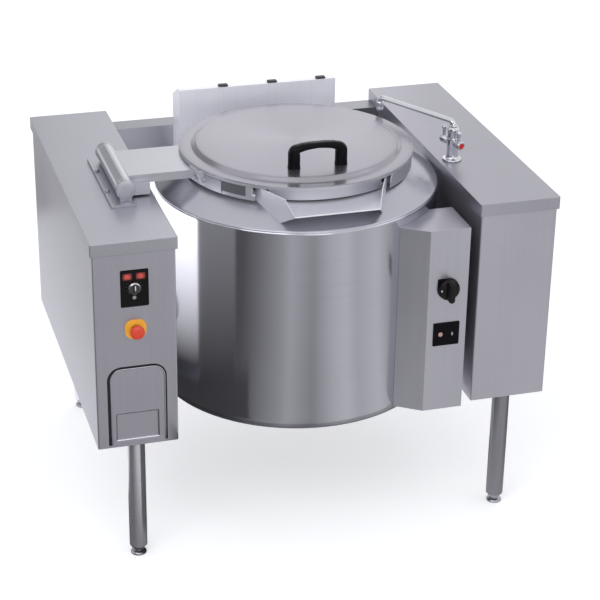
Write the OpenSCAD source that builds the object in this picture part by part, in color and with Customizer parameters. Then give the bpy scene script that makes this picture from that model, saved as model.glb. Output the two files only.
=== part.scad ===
// Tilting cooking kettle: a round kettle hung on trunnions between two pillars,
// with a lid hinged on the left pillar and a mixer tap on the right one.
// X runs from left to right, Y from front to back, Z up from the floor.

/* [Pillars] */
// Width of a pillar over its cap
pillar_w = 250; // [230:1:300]
// Height of a pillar from its underside to the top of its cap
pillar_h = 650; // [600:1:720]
// Height of the pillar's underside above the floor
ground_gap = 400; // [340:1:450]
// Height of the cap's turned-down lip
cap_lip = 38; // [30:1:50]
// How far the cap stands out past the casing
cap_over = 6; // [4:1:10]
// Thickness of casing sheet
sheet = 2; // [1.5:0.5:3]
// Radius of the casing's upright corners
casing_corner = 5; // [3:1:10]
// Height and depth of the rear cross beam
beam_size = 80; // [60:1:100]

/* [Legs] */
// Radius of a leg tube
leg_r = 25; // [20:1:30]
// Wall of a leg tube
leg_wall = 2; // [1.5:0.5:3]
// Distance of a leg's centre from the front or back of the pillar
leg_inset = 52; // [45:1:80]
// Height of a foot, from the floor to the leg tube
foot_h = 30; // [24:1:50]
// Radius of a foot's floor disc
foot_r = 24; // [20:1:35]
// Radius of a foot's threaded stem
stem_r = 8; // [6:1:10]

/* [Kettle] */
// Outer radius of the kettle
kettle_r = 431; // [425:1:445]
// Height of the kettle's wall, from its bottom to the shoulder's edge
shell_h = 642; // [580:1:660]
// How far the shoulder's edge lies below the pillar tops
shoulder_drop = 33; // [20:1:50]
// Height of the band round the top of the wall
rim_band_h = 45; // [35:1:60]
// Rise of the conical shoulder
shoulder_rise = 45; // [35:1:50]
// Distance from the kettle's wall in to the neck
shoulder_w = 103; // [100:1:115]
// Height of the pan's rim above the pillar tops
rim_top = 54; // [50:1:58]
// Radius of the edge round the kettle's bottom
bottom_round = 18; // [10:1:30]
// Thickness of the kettle's sheet
shell_t = 2; // [1.5:0.5:3]
// Gap between the left cap and the kettle
gap_left = 34; // [20:1:50]
// Gap between the right cap and the kettle
gap_right = 4; // [4:1:20]
// Thickness of the pan's wall
pan_t = 3; // [2:0.5:4]
// Height of the pan's lower edge above the kettle's bottom
burner_room = 159; // [135:1:220]
// Depth of the pan's dished bottom
pan_dish = 24; // [15:1:40]
// Thickness of the insulation
lagging_t = 30; // [20:1:40]

/* [Spout] */
// Half the spout's width at its lip
lip_half = 128; // [110:1:140]
// Half the spout's width where its walls meet the neck
mouth_half = 204; // [190:1:215]
// Height of the lip above the pillar tops
lip_z = 21; // [16:1:26]
// Slope of the spout's floor in degrees
spout_slope = 3.5; // [2:0.5:4]
// How far back the tips of the spout's walls stand behind the lip
spout_tip_back = 42; // [30:1:60]
// Thickness of the spout's sheet
spout_t = 3; // [2:0.5:4]

/* [Lid] */
// How far the lid's rim stands out past its skirt
rim_over = 4; // [2:1:8]
// Thickness of the lid's rolled rim
rim_t = 11; // [8:1:14]
// Height of the lid's raised middle above its rim
lid_raise = 11; // [6:1:16]
// Distance from the neck out to the skirt under the lid
skirt_out = 22; // [21:1:23]
// How far the skirt reaches below the rim
skirt_h = 43; // [38:1:44]
// Thickness of the lid's sheet
lid_t = 2; // [1.5:0.5:3]
// Distance from the inner edge of the left cap to the hinge line
hinge_in = 91; // [85:1:110]
// Height of the hinge line above the pillar top
hinge_up = 40; // [38:1:44]
// Outer radius of the hinge barrel
barrel_r = 26; // [22:1:27]
// Length of the hinge between its outer faces
hinge_l = 322; // [300:1:360]
// Width of the lid's arm
arm_w = 204; // [160:1:230]
// Distance of the handle from the neck
handle_in = 105; // [85:1:125]
// Distance between the handle's posts
handle_span = 142; // [120:1:160]
// Radius of a handle post
post_r = 19; // [14:1:22]

/* [Flue] */
// Width of the flue box
flue_w = 520; // [440:1:560]
// Depth of the flue box
flue_d = 98; // [80:1:120]
// Height of the flue box above the pillar tops
flue_up = 111; // [80:1:160]
// Gap between the kettle and the flue box
flue_gap = 10; // [9:1:20]

/* [Control box] */
// Width of the control box's front
ctrl_w = 124; // [112:1:130]
// Depth of the control box
ctrl_d = 160; // [140:1:180]
// Height of the control box's bottom above the kettle's bottom
ctrl_up = 15; // [5:1:40]
// How far the control box's right side lies inside the kettle's right side
ctrl_in = 23; // [21:1:31]
// How far the top of the control box lies below the pillar tops
ctrl_drop = 68; // [60:1:80]

/* [Tilting drive] */
// Radius of the trunnion shafts
trunnion_r = 30; // [25:1:35]
// How far the tilt axis lies in front of the kettle's axis
tilt_ahead = 31; // [25:1:40]
// Running clearance round shafts and spindles
run_gap = 0.1; // [0.05:0.05:0.2]
// Number of teeth on the worm wheel
wheel_teeth = 40; // [30:1:50]
// Outer radius of the worm wheel
wheel_r = 88; // [80:1:95]
// Outer radius of the worm
worm_r = 20; // [16:1:24]
// Radius of the motor
motor_r = 58; // [50:1:58]
// Length of the motor
motor_l = 210; // [160:1:230]

/* [Tap] */
// Distance of the tap from the inner edge of the right cap
tap_in = 44; // [40:1:60]
// Distance of the tap behind the pillar's front
tap_back = 363; // [340:1:380]
// Height of the tap's body
tap_h = 108; // [100:1:115]
// Radius of the tap's body
tap_r = 17; // [14:1:19]
// Reach of the tap's spout
tap_reach = 301; // [295:1:310]
// Direction of the tap's spout in degrees
tap_angle = 119.6; // [115:0.1:125]
// Radius of the tap's spout tube
tap_tube_r = 8.5; // [6:0.5:10]

/* [Controls] */
// Width of the control plate
plate_w = 81; // [70:1:90]
// Height of the control plate
plate_h = 115; // [100:1:130]
// How far the top of the control plate lies below the pillar top
plate_drop = 89; // [70:1:110]
// Radius of the control knob
knob_r = 18; // [14:1:22]
// Side of the emergency stop's yellow plate
stop_plate_w = 66; // [50:1:80]
// Radius of the emergency stop's button
stop_r = 21; // [16:1:25]
// How far the emergency stop's button stands out
stop_out = 34; // [28:1:40]
// Travel of the emergency stop's button
stop_travel = 5; // [3:1:6]
// Width of the service panel
panel_w = 174; // [150:1:190]
// Height of the service panel
panel_h = 253; // [220:1:275]
// Radius of the service panel's upper corners
panel_round = 42; // [30:1:50]
// Side of the switch plate on the control box
switch_plate_w = 50; // [40:1:60]
// Radius of the rotary switch's knob
switch_r = 33; // [26:1:36]
// How far the rotary switch stands out from the control box
switch_out = 40; // [30:1:45]

/* [Hidden] */
$fn = 96;

// Shared clearances and overruns
overrun = 1;
seat_gap = 0.2;

// Main places, worked out from the sizes above
top_z = ground_gap + pillar_h;
pillar_d = 2 * kettle_r + flue_gap + flue_d + beam_size;
front_y = -(pillar_d - max(stop_out - cap_over, switch_out)) / 2;
back_y = front_y + pillar_d;
inner_half = kettle_r + (gap_left + gap_right) / 2;
left_x = -inner_half - pillar_w / 2;
right_x = inner_half + pillar_w / 2;
kettle_x = inner_half - gap_right - kettle_r;
kettle_y = front_y + kettle_r;
body_w = pillar_w - 2 * cap_over;
body_d = pillar_d - 2 * cap_over;
body_front = front_y + cap_over;
body_back = back_y - cap_over;

// Heights of the kettle
neck_r = kettle_r - shoulder_w;
shoulder_z = top_z - shoulder_drop;
kettle_z = shoulder_z - shell_h;
band_z = shoulder_z - rim_band_h;
shell_z = kettle_z + bottom_round + shell_t;
pan_rim_z = top_z + rim_top;
neck_top_z = pan_rim_z - pan_t;
neck_round = 12;
cone_top_r = neck_r + neck_round;
cone_slope = shoulder_rise / (kettle_r - cone_top_r);

// Beam and flue
beam_z = top_z - cap_lip - beam_size;
beam_y = back_y - beam_size;
beam_wall = 3;
flue_y = beam_y - flue_d;
flue_z = beam_z;

// The tilt axis lies midway between the kettle's bottom and the flue's, so that the
// corner of the kettle's bottom passes the flue's lower edge with the gap it has at rest
axis_y = kettle_y - tilt_ahead;
axis_z = (kettle_z + flue_z) / 2;

// Lid
seal_h = 8;
skirt_r = neck_r + skirt_out;
lid_r = skirt_r + rim_over;
handle_forward = neck_r - handle_in;
lid_z = pan_rim_z + seal_h;
lid_top = lid_z + rim_t + lid_raise;
hinge_x = -inner_half - hinge_in;
hinge_z = top_z + hinge_up;
ear_wall = 3;
end_r = barrel_r + ear_wall;
end_l = 14;
hinge_base_t = 8;
pin_r = 8;

// Legs
leg_places = [
    [left_x, front_y + leg_inset], [right_x, front_y + leg_inset],
    [left_x, back_y - leg_inset], [right_x, back_y - leg_inset]
];

// Inner frames of the pillars
post_w = 40;
post_wall = 2;
rail_h = 30;
frame_inset = 3;
frame_back = 12;
bearing_gap = 110;
mount_t = 8;
mount_in = 42;

// Bearings and drive
bearing_r = 52;
bearing_t = 26;
box_wall = 6;
box_t = 64;
worm_l = 90;
worm_drop = wheel_r + worm_r + run_gap * 2;
worm_neck_r = 10;
drive_x = inner_half + cap_over + mount_in + mount_t + bearing_t + 4 * run_gap + box_t / 2;

// Turns a path of points into a sheet of one thickness on the left of the path
function unit(v) = v / norm(v);
function left_of(v) = [-v[1], v[0]];
function way(p, i) = unit(p[i + 1] - p[i]);
function miter(p, i, t) =
    let (a = way(p, max(i - 1, 0)), b = way(p, min(i, len(p) - 2)))
    let (n = unit(left_of(a) + left_of(b)))
    p[i] + n * t / (n * left_of(a));
module strip(p, t) {
    polygon(concat(p, [for (i = [len(p) - 1:-1:0]) miter(p, i, t)]));
}

// Points along an arc, for rounding a path
function arc(cx, cy, r, a0, a1, n = 6) =
    [for (i = [0:n]) [cx + r * cos(a0 + (a1 - a0) * i / n), cy + r * sin(a0 + (a1 - a0) * i / n)]];

// Points of a closed outline moved inwards by t, for an outline that runs anticlockwise
function inset(p, t) =
    [for (i = [0:len(p) - 1])
        let (a = unit(p[i] - p[(i + len(p) - 1) % len(p)]), b = unit(p[(i + 1) % len(p)] - p[i]))
        let (n = unit(left_of(a) + left_of(b)))
        p[i] + n * t / (n * left_of(a))];

// A rectangle with round corners, centred in X, starting at y = 0
module round_plate(w, d, r) {
    translate([-w / 2 + r, 0]) square([w - 2 * r, d]);
    translate([-w / 2, r]) square([w, d - 2 * r]);
    for (x = [-w / 2 + r, w / 2 - r], y = [r, d - r]) translate([x, y]) circle(r);
}

// Lays a shape drawn in X and Z on a face that looks to the front, growing backwards
module on_front(y) {
    translate([0, y, 0]) rotate([90, 0, 0]) mirror([0, 0, 1]) children();
}

// A cylinder along X or Y from a start point
module bar_x(r, l) { rotate([0, 90, 0]) cylinder(r = r, h = l); }
module bar_y(r, l) { rotate([-90, 0, 0]) cylinder(r = r, h = l); }

// Pillars

module casing_shape() {
    difference() {
        round_plate(body_w, body_d, casing_corner);
        translate([-body_w / 2 + sheet, sheet]) square([body_w - 2 * sheet, body_d]);
    }
}

module casing(x, holes) {
    translate([x, body_front, ground_gap]) difference() {
        union() {
            linear_extrude(pillar_h - sheet) casing_shape();
            linear_extrude(sheet) round_plate(body_w, body_d, casing_corner);
        }
        for (y = [leg_inset - cap_over, body_d - leg_inset + cap_over])
            translate([0, y, -overrun]) cylinder(r = stem_r + run_gap, h = sheet + 2 * overrun);
        translate([-x, -body_front, -ground_gap]) children();
    }
}

shaft_room = 3;
shaft_hole_r = trunnion_r + shaft_room;
spindle_r = 4;

module left_casing() {
    color([0.72, 0.72, 0.75]) casing(left_x) {
        translate([-inner_half - cap_over - sheet - overrun, axis_y, axis_z])
            bar_x(shaft_hole_r, sheet + 2 * overrun);
        translate([left_x, body_front - overrun, stop_z])
            bar_y(stop_stem_r + run_gap, sheet + 2 * overrun);
        translate([0, 0, plate_z]) on_front(body_front - overrun) linear_extrude(sheet + 2 * overrun)
            translate([left_x, 0]) round_plate(plate_w, plate_h, plate_corner);
        translate([left_x, 0, panel_z]) on_front(body_front - overrun)
            linear_extrude(sheet + 2 * overrun) panel_arch(0);
    }
    color([0.72, 0.72, 0.75]) translate([left_x, 0, plate_z]) on_front(body_front)
        linear_extrude(plate_recess) difference() {
            translate([0, -sheet])
                round_plate(plate_w + 2 * sheet, plate_h + 2 * sheet, plate_corner + sheet);
            round_plate(plate_w, plate_h, plate_corner);
        }
    color([0.72, 0.72, 0.75]) translate([left_x, 0, panel_z]) on_front(body_front)
        linear_extrude(panel_recess) difference() {
            panel_arch(sheet);
            panel_arch(0);
        }
}

module right_casing() {
    color([0.72, 0.72, 0.75]) casing(right_x)
        translate([inner_half + cap_over - overrun, axis_y, axis_z])
            bar_x(shaft_hole_r, sheet + 2 * overrun);
}

// A cap: a tray turned upside down over the casing
cap_round = 5;
cap_t = cap_over - seat_gap;
module cap(x) {
    translate([x, front_y, 0]) difference() {
        translate([0, 0, top_z - cap_lip]) linear_extrude(cap_lip)
            round_plate(pillar_w, pillar_d, cap_round);
        translate([-pillar_w / 2 + cap_t, cap_t, top_z - cap_lip - overrun])
            cube([pillar_w - 2 * cap_t, pillar_d - 2 * cap_t, cap_lip - sheet + overrun]);
        translate([-x, -front_y, 0]) children();
    }
}

module left_cap() { color([0.80, 0.81, 0.84]) cap(left_x); }

module right_cap() {
    color([0.80, 0.81, 0.84]) cap(right_x)
        translate([tap_x, tap_y, top_z - sheet - overrun])
            cylinder(r = tap_r + run_gap, h = sheet + 2 * overrun);
}

// A back panel inside the casing's open back, with a cable gland or two water inlets
gland_r = 14;
gland_l = 22;
gland_z = ground_gap + 90;
inlet_apart = 60;
module back_panel(x) {
    translate([x - body_w / 2 + sheet + seat_gap, body_back - sheet, ground_gap + sheet])
        cube([body_w - 2 * (sheet + seat_gap), sheet, pillar_h - 2 * sheet - seat_gap]);
}

module left_back_panel() {
    color([0.62, 0.62, 0.65]) difference() {
        union() {
            back_panel(left_x);
            translate([left_x, body_back - gland_l / 2, gland_z]) bar_y(gland_r, gland_l / 2 + cap_over);
        }
        translate([left_x, body_back - gland_l, gland_z]) bar_y(gland_r / 2, 2 * gland_l);
    }
}

module right_back_panel() {
    color([0.62, 0.62, 0.65]) difference() {
        union() {
            back_panel(right_x);
            for (s = [-1, 1]) translate([right_x + s * inlet_apart / 2, body_back - gland_l, gland_z])
                bar_y(gland_r, gland_l + cap_over);
        }
        for (s = [-1, 1]) translate([right_x + s * inlet_apart / 2, body_back - gland_l - overrun, gland_z])
            bar_y(gland_r / 2, 2 * gland_l);
    }
}

// A pillar's inner frame: two posts beside the shaft, a rail under the cap, a rail on the
// floor of the casing, and the plate that carries the bearing. side is -1 left, 1 right
module channel(size, open) {
    difference() {
        cube(size);
        translate([post_wall, post_wall, post_wall]) cube([
            open == 0 ? size[0] : size[0] - 2 * post_wall, size[1] - 2 * post_wall,
            open == 2 ? size[2] : size[2] - 2 * post_wall]);
    }
}

module frame(side) {
    inner_x = inner_half + cap_over + sheet + frame_inset;
    rail_y = body_front + sheet + frame_back;
    rail_l = body_d - 2 * sheet - frame_inset - frame_back;
    floor_z = ground_gap + sheet;
    roof_z = top_z - sheet - rail_h;
    difference() {
        mirror([side < 0 ? 1 : 0, 0, 0]) union() {
            for (s = [-1, 1])
                translate([inner_x, axis_y + s * bearing_gap - post_w / 2, floor_z])
                    channel([mount_in - sheet - frame_inset, post_w, pillar_h - 2 * sheet], 0);
            for (z = [floor_z, roof_z])
                translate([inner_x, rail_y, z]) channel([post_w, rail_l, rail_h], 0);
            for (y = [rail_y, rail_y + rail_l - post_w])
                translate([inner_x, y, floor_z])
                    channel([body_w - 2 * sheet - 2 * frame_inset, post_w, rail_h], 2);
            for (y = [rail_y, rail_y + rail_l - post_w])
                translate([inner_x, y, floor_z]) channel([post_w, post_w, pillar_h - 2 * sheet], 0);
            translate([inner_half + cap_over + mount_in, axis_y - bearing_gap - post_w / 2,
                       axis_z - bearing_gap])
                cube([mount_t, 2 * bearing_gap + post_w, 2 * bearing_gap]);
        }
        translate([-pillar_w - inner_half, axis_y, axis_z])
            bar_x(shaft_hole_r, 2 * (pillar_w + inner_half));
        for (p = leg_places) translate([p[0], p[1], floor_z - overrun])
            cylinder(r = stem_r + run_gap, h = rail_h + 2 * overrun);
        children();
    }
}

module left_frame() { color([0.45, 0.46, 0.48]) frame(-1); }
module right_frame() {
    color([0.45, 0.46, 0.48]) frame(1)
        translate([tap_x, tap_y, top_z - tap_tail - overrun]) cylinder(r = tap_r + sheet, h = tap_tail);
}

module rear_beam() {
    beam_l = 2 * (inner_half + cap_over) - 2 * seat_gap;
    color([0.55, 0.55, 0.58]) translate([-beam_l / 2, beam_y, beam_z]) difference() {
        cube([beam_l, beam_size - cap_over, beam_size - seat_gap]);
        translate([-overrun, beam_wall, beam_wall])
            cube([beam_l + 2 * overrun, beam_size - cap_over - 2 * beam_wall,
                  beam_size - seat_gap - 2 * beam_wall]);
    }
}

// Legs and feet: a leg tube with a closed end that takes the foot's stem
leg_plug = 12;
leg_flange_t = 3;
module leg(i) {
    color([0.78, 0.78, 0.80]) translate([leg_places[i][0], leg_places[i][1], foot_h]) difference() {
        cylinder(r = leg_r, h = ground_gap - foot_h);
        translate([0, 0, leg_plug])
            cylinder(r = leg_r - leg_wall, h = ground_gap - foot_h - leg_plug - leg_flange_t);
        translate([0, 0, -overrun]) cylinder(r = stem_r + run_gap, h = ground_gap);
    }
}

foot_disc_h = 12;
foot_neck_r = 13;
stem_l = 60;
module foot(i) {
    color([0.60, 0.60, 0.62]) translate([leg_places[i][0], leg_places[i][1], 0]) {
        cylinder(r = foot_r, h = foot_disc_h);
        translate([0, 0, foot_disc_h]) cylinder(r = foot_neck_r, h = foot_h - foot_disc_h - seat_gap);
        translate([0, 0, foot_h - seat_gap]) cylinder(r = stem_r, h = stem_l);
    }
}

module front_left_leg() { leg(0); }
module front_right_leg() { leg(1); }
module rear_left_leg() { leg(2); }
module rear_right_leg() { leg(3); }
module front_left_foot() { foot(0); }
module front_right_foot() { foot(1); }
module rear_left_foot() { foot(2); }
module rear_right_foot() { foot(3); }

// Left pillar's front

// The arched service panel, set back in a window with a folded rim. Low on it a
// rectangle is pressed inwards
panel_t = 2;
panel_recess = 4;
panel_low = 5;
panel_z = ground_gap + sheet + panel_low;
panel_y = body_front + panel_recess + seat_gap;
press_w = 124;
press_h = 87;
press_z = 14;
press_in = 3;
module panel_arch(o) {
    translate([-panel_w / 2 - o, -o]) square([panel_w + 2 * o, panel_h - panel_round + o]);
    translate([-panel_w / 2 + panel_round, 0]) square([panel_w - 2 * panel_round, panel_h + o]);
    for (s = [-1, 1])
        translate([s * (panel_w / 2 - panel_round), panel_h - panel_round]) circle(panel_round + o);
}
module service_panel() {
    color([0.70, 0.70, 0.73]) translate([left_x, 0, panel_z]) difference() {
        union() {
            on_front(panel_y) linear_extrude(panel_t) panel_arch(sheet);
            on_front(panel_y) linear_extrude(panel_t + press_in) translate([0, press_z - panel_t])
                round_plate(press_w + 2 * panel_t, press_h + 2 * panel_t, 2 * panel_t);
        }
        on_front(panel_y - overrun) linear_extrude(overrun + press_in)
            translate([0, press_z]) round_plate(press_w, press_h, panel_t);
    }
}

// Black control plate, set back in a window with a folded rim
control_t = 3;
plate_recess = 5;
control_y = body_front + plate_recess;
plate_z = top_z - plate_drop - plate_h;
plate_corner = 4;
knob_drop = 147;
knob_z = top_z - knob_drop;
lamp_drop = 180;
lamp_z = top_z - lamp_drop;
lamp_r = 3;
display_w = 27;
display_h = 20;
display_apart = 38;
display_drop = 112;
display_z = top_z - display_drop;
module control_plate() {
    color([0.08, 0.08, 0.09]) difference() {
        translate([left_x, 0, plate_z - sheet]) on_front(control_y + seat_gap) linear_extrude(control_t)
            round_plate(plate_w + 2 * sheet, plate_h + 2 * sheet, plate_corner + sheet);
        translate([left_x, control_y - overrun, knob_z])
            bar_y(spindle_r + run_gap, control_t + 2 * overrun);
    }
}

display_t = 1.5;
module displays() {
    color([0.75, 0.05, 0.05]) for (s = [-1, 1])
        translate([left_x + s * display_apart / 2, 0, display_z - display_h / 2])
            on_front(control_y - display_t) linear_extrude(display_t)
                round_plate(display_w, display_h, display_t);
    color([0.75, 0.75, 0.77]) translate([left_x, control_y - display_t, lamp_z])
        bar_y(lamp_r, display_t);
}

// Knob with a pointer ridge and a spindle into the control board
knob_t = 16;
ridge_w = 6;
ridge_t = 4;
board_gap = 12;
module control_knob() {
    color([0.35, 0.35, 0.37]) translate([left_x, control_y, knob_z]) {
        translate([0, -knob_t - seat_gap, 0]) bar_y(knob_r, knob_t);
        translate([-ridge_w / 2, -knob_t - ridge_t, -knob_r])
            cube([ridge_w, ridge_t + seat_gap, 2 * knob_r]);
        translate([0, -seat_gap - overrun, 0])
            bar_y(spindle_r, board_gap + sheet + overrun - plate_recess);
    }
}

// Emergency stop
stop_drop = 273;
stop_z = top_z - stop_drop;
stop_stem_r = 11;
stop_dome = 6;
stop_plate_t = 3;
stop_collar_r = 16;
module stop_plate() {
    color([0.95, 0.80, 0.10]) difference() {
        union() {
            translate([left_x, 0, stop_z - stop_plate_w / 2]) on_front(body_front - stop_plate_t)
                linear_extrude(stop_plate_t) round_plate(stop_plate_w, stop_plate_w, plate_corner);
            translate([left_x, body_front - 2 * stop_plate_t, stop_z]) bar_y(stop_collar_r, stop_plate_t);
        }
        translate([left_x, body_front - 2 * stop_plate_t - overrun, stop_z])
            bar_y(stop_stem_r + run_gap, 3 * stop_plate_t);
    }
}

module stop_button() {
    head_t = stop_out - 2 * stop_plate_t - stop_travel - run_gap;
    color([0.80, 0.06, 0.08]) translate([left_x, body_front - stop_out, stop_z]) {
        rotate([-90, 0, 0]) rotate_extrude() polygon(concat(
            [[0, 0]], arc(stop_r - stop_dome, stop_dome, stop_dome, -90, 0, 5),
            [[stop_r, head_t / 2], [stop_collar_r, head_t], [0, head_t]]));
        bar_y(stop_stem_r, stop_out + sheet + board_gap);
    }
}

// Control gear behind the plate, standing on pillars from the casing's front
board_w = 110;
board_h = 150;
board_t = 4;
gear_d = 45;
module control_board() {
    board_y = body_front + sheet + board_gap;
    color([0.15, 0.35, 0.20]) difference() {
        union() {
            translate([left_x - board_w / 2, board_y + seat_gap, knob_z - board_h / 2])
                cube([board_w, board_t, board_h]);
            for (s = [-1, 1], t = [-1, 1])
                translate([left_x + s * (board_w / 2 - spindle_r * 2), body_front + sheet,
                           knob_z + t * (board_h / 2 - spindle_r * 2)])
                    bar_y(spindle_r, board_gap + 2 * seat_gap);
            translate([left_x - board_w / 3, board_y + board_t, knob_z - board_h / 3])
                cube([board_w * 2 / 3, gear_d, board_h / 2]);
        }
        translate([left_x, board_y - overrun, knob_z]) bar_y(spindle_r + run_gap, board_t * 2);
    }
}

// Lid hinge on the left pillar

hinge_base_w = 72;
hinge_base_left = 49;
hinge_base_front = 30;
ear_w = 34;
module hinge_base() {
    base_l = hinge_l + 2 * hinge_base_front;
    color([0.75, 0.76, 0.79]) difference() {
        union() {
            translate([hinge_x - hinge_base_left, kettle_y - base_l / 2, top_z])
                cube([hinge_base_w, base_l, hinge_base_t]);
            for (y = [kettle_y - hinge_l / 2, kettle_y + hinge_l / 2 - end_l]) {
                translate([hinge_x, y, hinge_z]) bar_y(end_r, end_l);
                translate([hinge_x - ear_w / 2, y, top_z + hinge_base_t / 2])
                    cube([ear_w, end_l, hinge_up]);
            }
            for (y = [kettle_y - hinge_l / 4, kettle_y + hinge_l / 4])
                translate([hinge_x - hinge_base_left + hinge_bolt_r * 3 / 2, y, top_z + hinge_base_t])
                    cylinder(r = hinge_bolt_r, h = hinge_bolt_r);
        }
        translate([hinge_x, kettle_y - hinge_l / 2 + end_cap_t, hinge_z])
            bar_y(pin_r + seat_gap / 2, hinge_l - 2 * end_cap_t);
    }
}
hinge_bolt_r = 6;
end_cap_t = 3;

module hinge_pin() {
    color([0.65, 0.65, 0.67]) translate([hinge_x, kettle_y - hinge_l / 2 + end_cap_t + seat_gap, hinge_z])
        bar_y(pin_r, hinge_l - 2 * end_cap_t - 2 * seat_gap);
}

// Counterbalance spring, wound round the pin inside the barrel
spring_wire_r = 3;
spring_r = 15;
spring_turns = 14;
spring_sides = 6;
spring_steps = 12;
module hinge_spring() {
    spring_l = hinge_l - 2 * (end_l + barrel_gap + barrel_wall + spring_wire_r + seat_gap);
    rings = spring_turns * spring_steps;
    pts = [for (i = [0:rings], j = [0:spring_sides - 1])
        let (a = 360 * i / spring_steps, b = 360 * j / spring_sides)
        [(spring_r + spring_wire_r * cos(b)) * cos(a),
         spring_l * i / rings + spring_wire_r * sin(b),
         (spring_r + spring_wire_r * cos(b)) * sin(a)]];
    last = rings * spring_sides;
    faces = concat(
        [for (i = [0:rings - 1], j = [0:spring_sides - 1])
            let (a = i * spring_sides, b = a + spring_sides, k = (j + 1) % spring_sides)
            [a + j, b + j, b + k]],
        [for (i = [0:rings - 1], j = [0:spring_sides - 1])
            let (a = i * spring_sides, b = a + spring_sides, k = (j + 1) % spring_sides)
            [a + j, b + k, a + k]],
        [for (j = [1:spring_sides - 2]) [0, j, j + 1]],
        [for (j = [1:spring_sides - 2]) [last, last + j + 1, last + j]]);
    color([0.4, 0.4, 0.42])
        translate([hinge_x, kettle_y - spring_l / 2, hinge_z]) polyhedron(points = pts, faces = faces);
}

// The barrel turns on the pin and carries the arm
barrel_wall = 4;
barrel_gap = 0.5;
module lid_barrel() {
    barrel_l = hinge_l - 2 * end_l - 2 * barrel_gap;
    color([0.85, 0.85, 0.88]) translate([hinge_x, kettle_y - barrel_l / 2, hinge_z]) difference() {
        bar_y(barrel_r, barrel_l);
        translate([0, barrel_wall, 0]) bar_y(barrel_r - barrel_wall, barrel_l - 2 * barrel_wall);
        translate([0, -overrun, 0]) bar_y(pin_r + run_gap, barrel_l + 2 * overrun);
    }
}

// The arm: a plate with its edges turned down, a root block beside the barrel, and a
// curved saddle strip that is bolted to the lid's skirt
arm_drop = 2;
arm_z = lid_z - arm_drop;
arm_t = 3;
arm_flange = 26;
root_w = 48;
root_gap = 5;
root_in = 31;
root_over = 20;
saddle_t = 3.5;
saddle_half = 36;
saddle_up = 4;
saddle_bolts = [-24, 24];
saddle_bolt_r = 7;
saddle_bolt_h = 4;
module saddle_turn(a) { translate([kettle_x, kettle_y, 0]) rotate([0, 0, 180 + a]) children(); }
module lid_saddle() {
    saddle_turn(-saddle_half) translate([0, 0, lid_z - skirt_h + saddle_up])
        rotate_extrude(angle = 2 * saddle_half)
            translate([skirt_r + seat_gap, 0]) square([saddle_t, skirt_h - 3 * saddle_up / 2]);
    for (a = saddle_bolts) saddle_turn(a)
        translate([skirt_r + saddle_t / 2, 0, lid_z - skirt_h / 2])
            bar_x(saddle_bolt_r, saddle_bolt_h + saddle_t / 2);
}

module lid_arm() {
    arm_l = inner_half + kettle_x - hinge_x - skirt_r / 2;
    color([0.78, 0.79, 0.82]) {
        difference() {
            translate([hinge_x, kettle_y, 0]) {
                translate([0, -arm_w / 2, arm_z - arm_t]) cube([arm_l, arm_w, arm_t]);
                for (y = [-arm_w / 2, arm_w / 2 - arm_t])
                    translate([0, y, arm_z - arm_flange]) cube([arm_l, arm_t, arm_flange]);
                translate([root_in, -arm_w / 2 - root_over, top_z + root_gap])
                    cube([root_w, arm_w + 2 * root_over, hinge_up - root_gap]);
                translate([0, -arm_w / 2, hinge_z - hinge_up / 4])
                    cube([root_in + arm_t, arm_w, hinge_up / 2]);
            }
            translate([hinge_x, kettle_y - hinge_l, hinge_z]) bar_y(barrel_r + seat_gap, 2 * hinge_l);
            translate([kettle_x, kettle_y, top_z - overrun])
                cylinder(r = skirt_r + saddle_t / 2, h = 3 * hinge_up);
        }
        lid_saddle();
    }
}

// The lid: a pressed disc with a raised middle
step_in = 36;
step_w = 14;
dome_up = 4;
dome_share = 0.55;
module lid_disc() {
    step_r = lid_r - step_in;
    rim_z = lid_z + rim_t;
    rise = lid_raise / 2;
    path = concat(
        [[lid_r, rim_z], [step_r, rim_z]],
        [for (i = [1:5]) [step_r - step_w * i / 6, rim_z + rise - rise * cos(180 * i / 6)]],
        [[step_r - step_w, lid_top]],
        [for (i = [0:6]) [post_r + (step_r * dome_share - post_r) * (1 - i / 6),
                          lid_top + dome_up * sin(90 * i / 6)]],
        [[0, lid_top + dome_up]]);
    color([0.80, 0.80, 0.83]) translate([kettle_x, kettle_y, 0]) rotate_extrude() strip(path, lid_t);
}

// Outline of the spout's walls seen from above, moved outwards by o, from the neck's inside
function mouth_outline(o) = [
    [-mouth_half - o, -mouth_y], [-lip_half - o, -kettle_r - overrun], [lip_half + o, -kettle_r - overrun],
    [mouth_half + o, -mouth_y], [mouth_half + o, 0], [-mouth_half - o, 0]];
mouth_y = sqrt(neck_r * neck_r - mouth_half * mouth_half);
// The skirt hangs under the lid's rolled rim and has notches for the spout's walls
notch_out = 12;
notch_in = 8;
skirt_lift = 13;
module lid_skirt() {
    color([0.74, 0.74, 0.78]) translate([kettle_x, kettle_y, lid_z - skirt_h]) difference() {
        union() {
            cylinder(r = skirt_r, h = skirt_h + overrun);
            translate([0, 0, skirt_h]) cylinder(r = lid_r, h = rim_t - lid_t - seat_gap);
        }
        translate([0, 0, -overrun]) cylinder(r = skirt_r - lid_t, h = 2 * skirt_h);
        translate([0, 0, -overrun]) linear_extrude(skirt_h) difference() {
            polygon(mouth_outline(notch_out));
            polygon(mouth_outline(-notch_in));
        }
        translate([0, 0, -overrun]) linear_extrude(skirt_lift + overrun) polygon(mouth_outline(notch_out));
    }
}

seal_w = 10;
module lid_seal() {
    color([0.55, 0.55, 0.57]) translate([kettle_x, kettle_y, pan_rim_z + seat_gap]) difference() {
        cylinder(r = neck_r, h = seal_h + rim_t - lid_t - 2 * seat_gap);
        translate([0, 0, -overrun]) cylinder(r = neck_r - seal_w, h = 3 * seal_h);
    }
}

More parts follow.
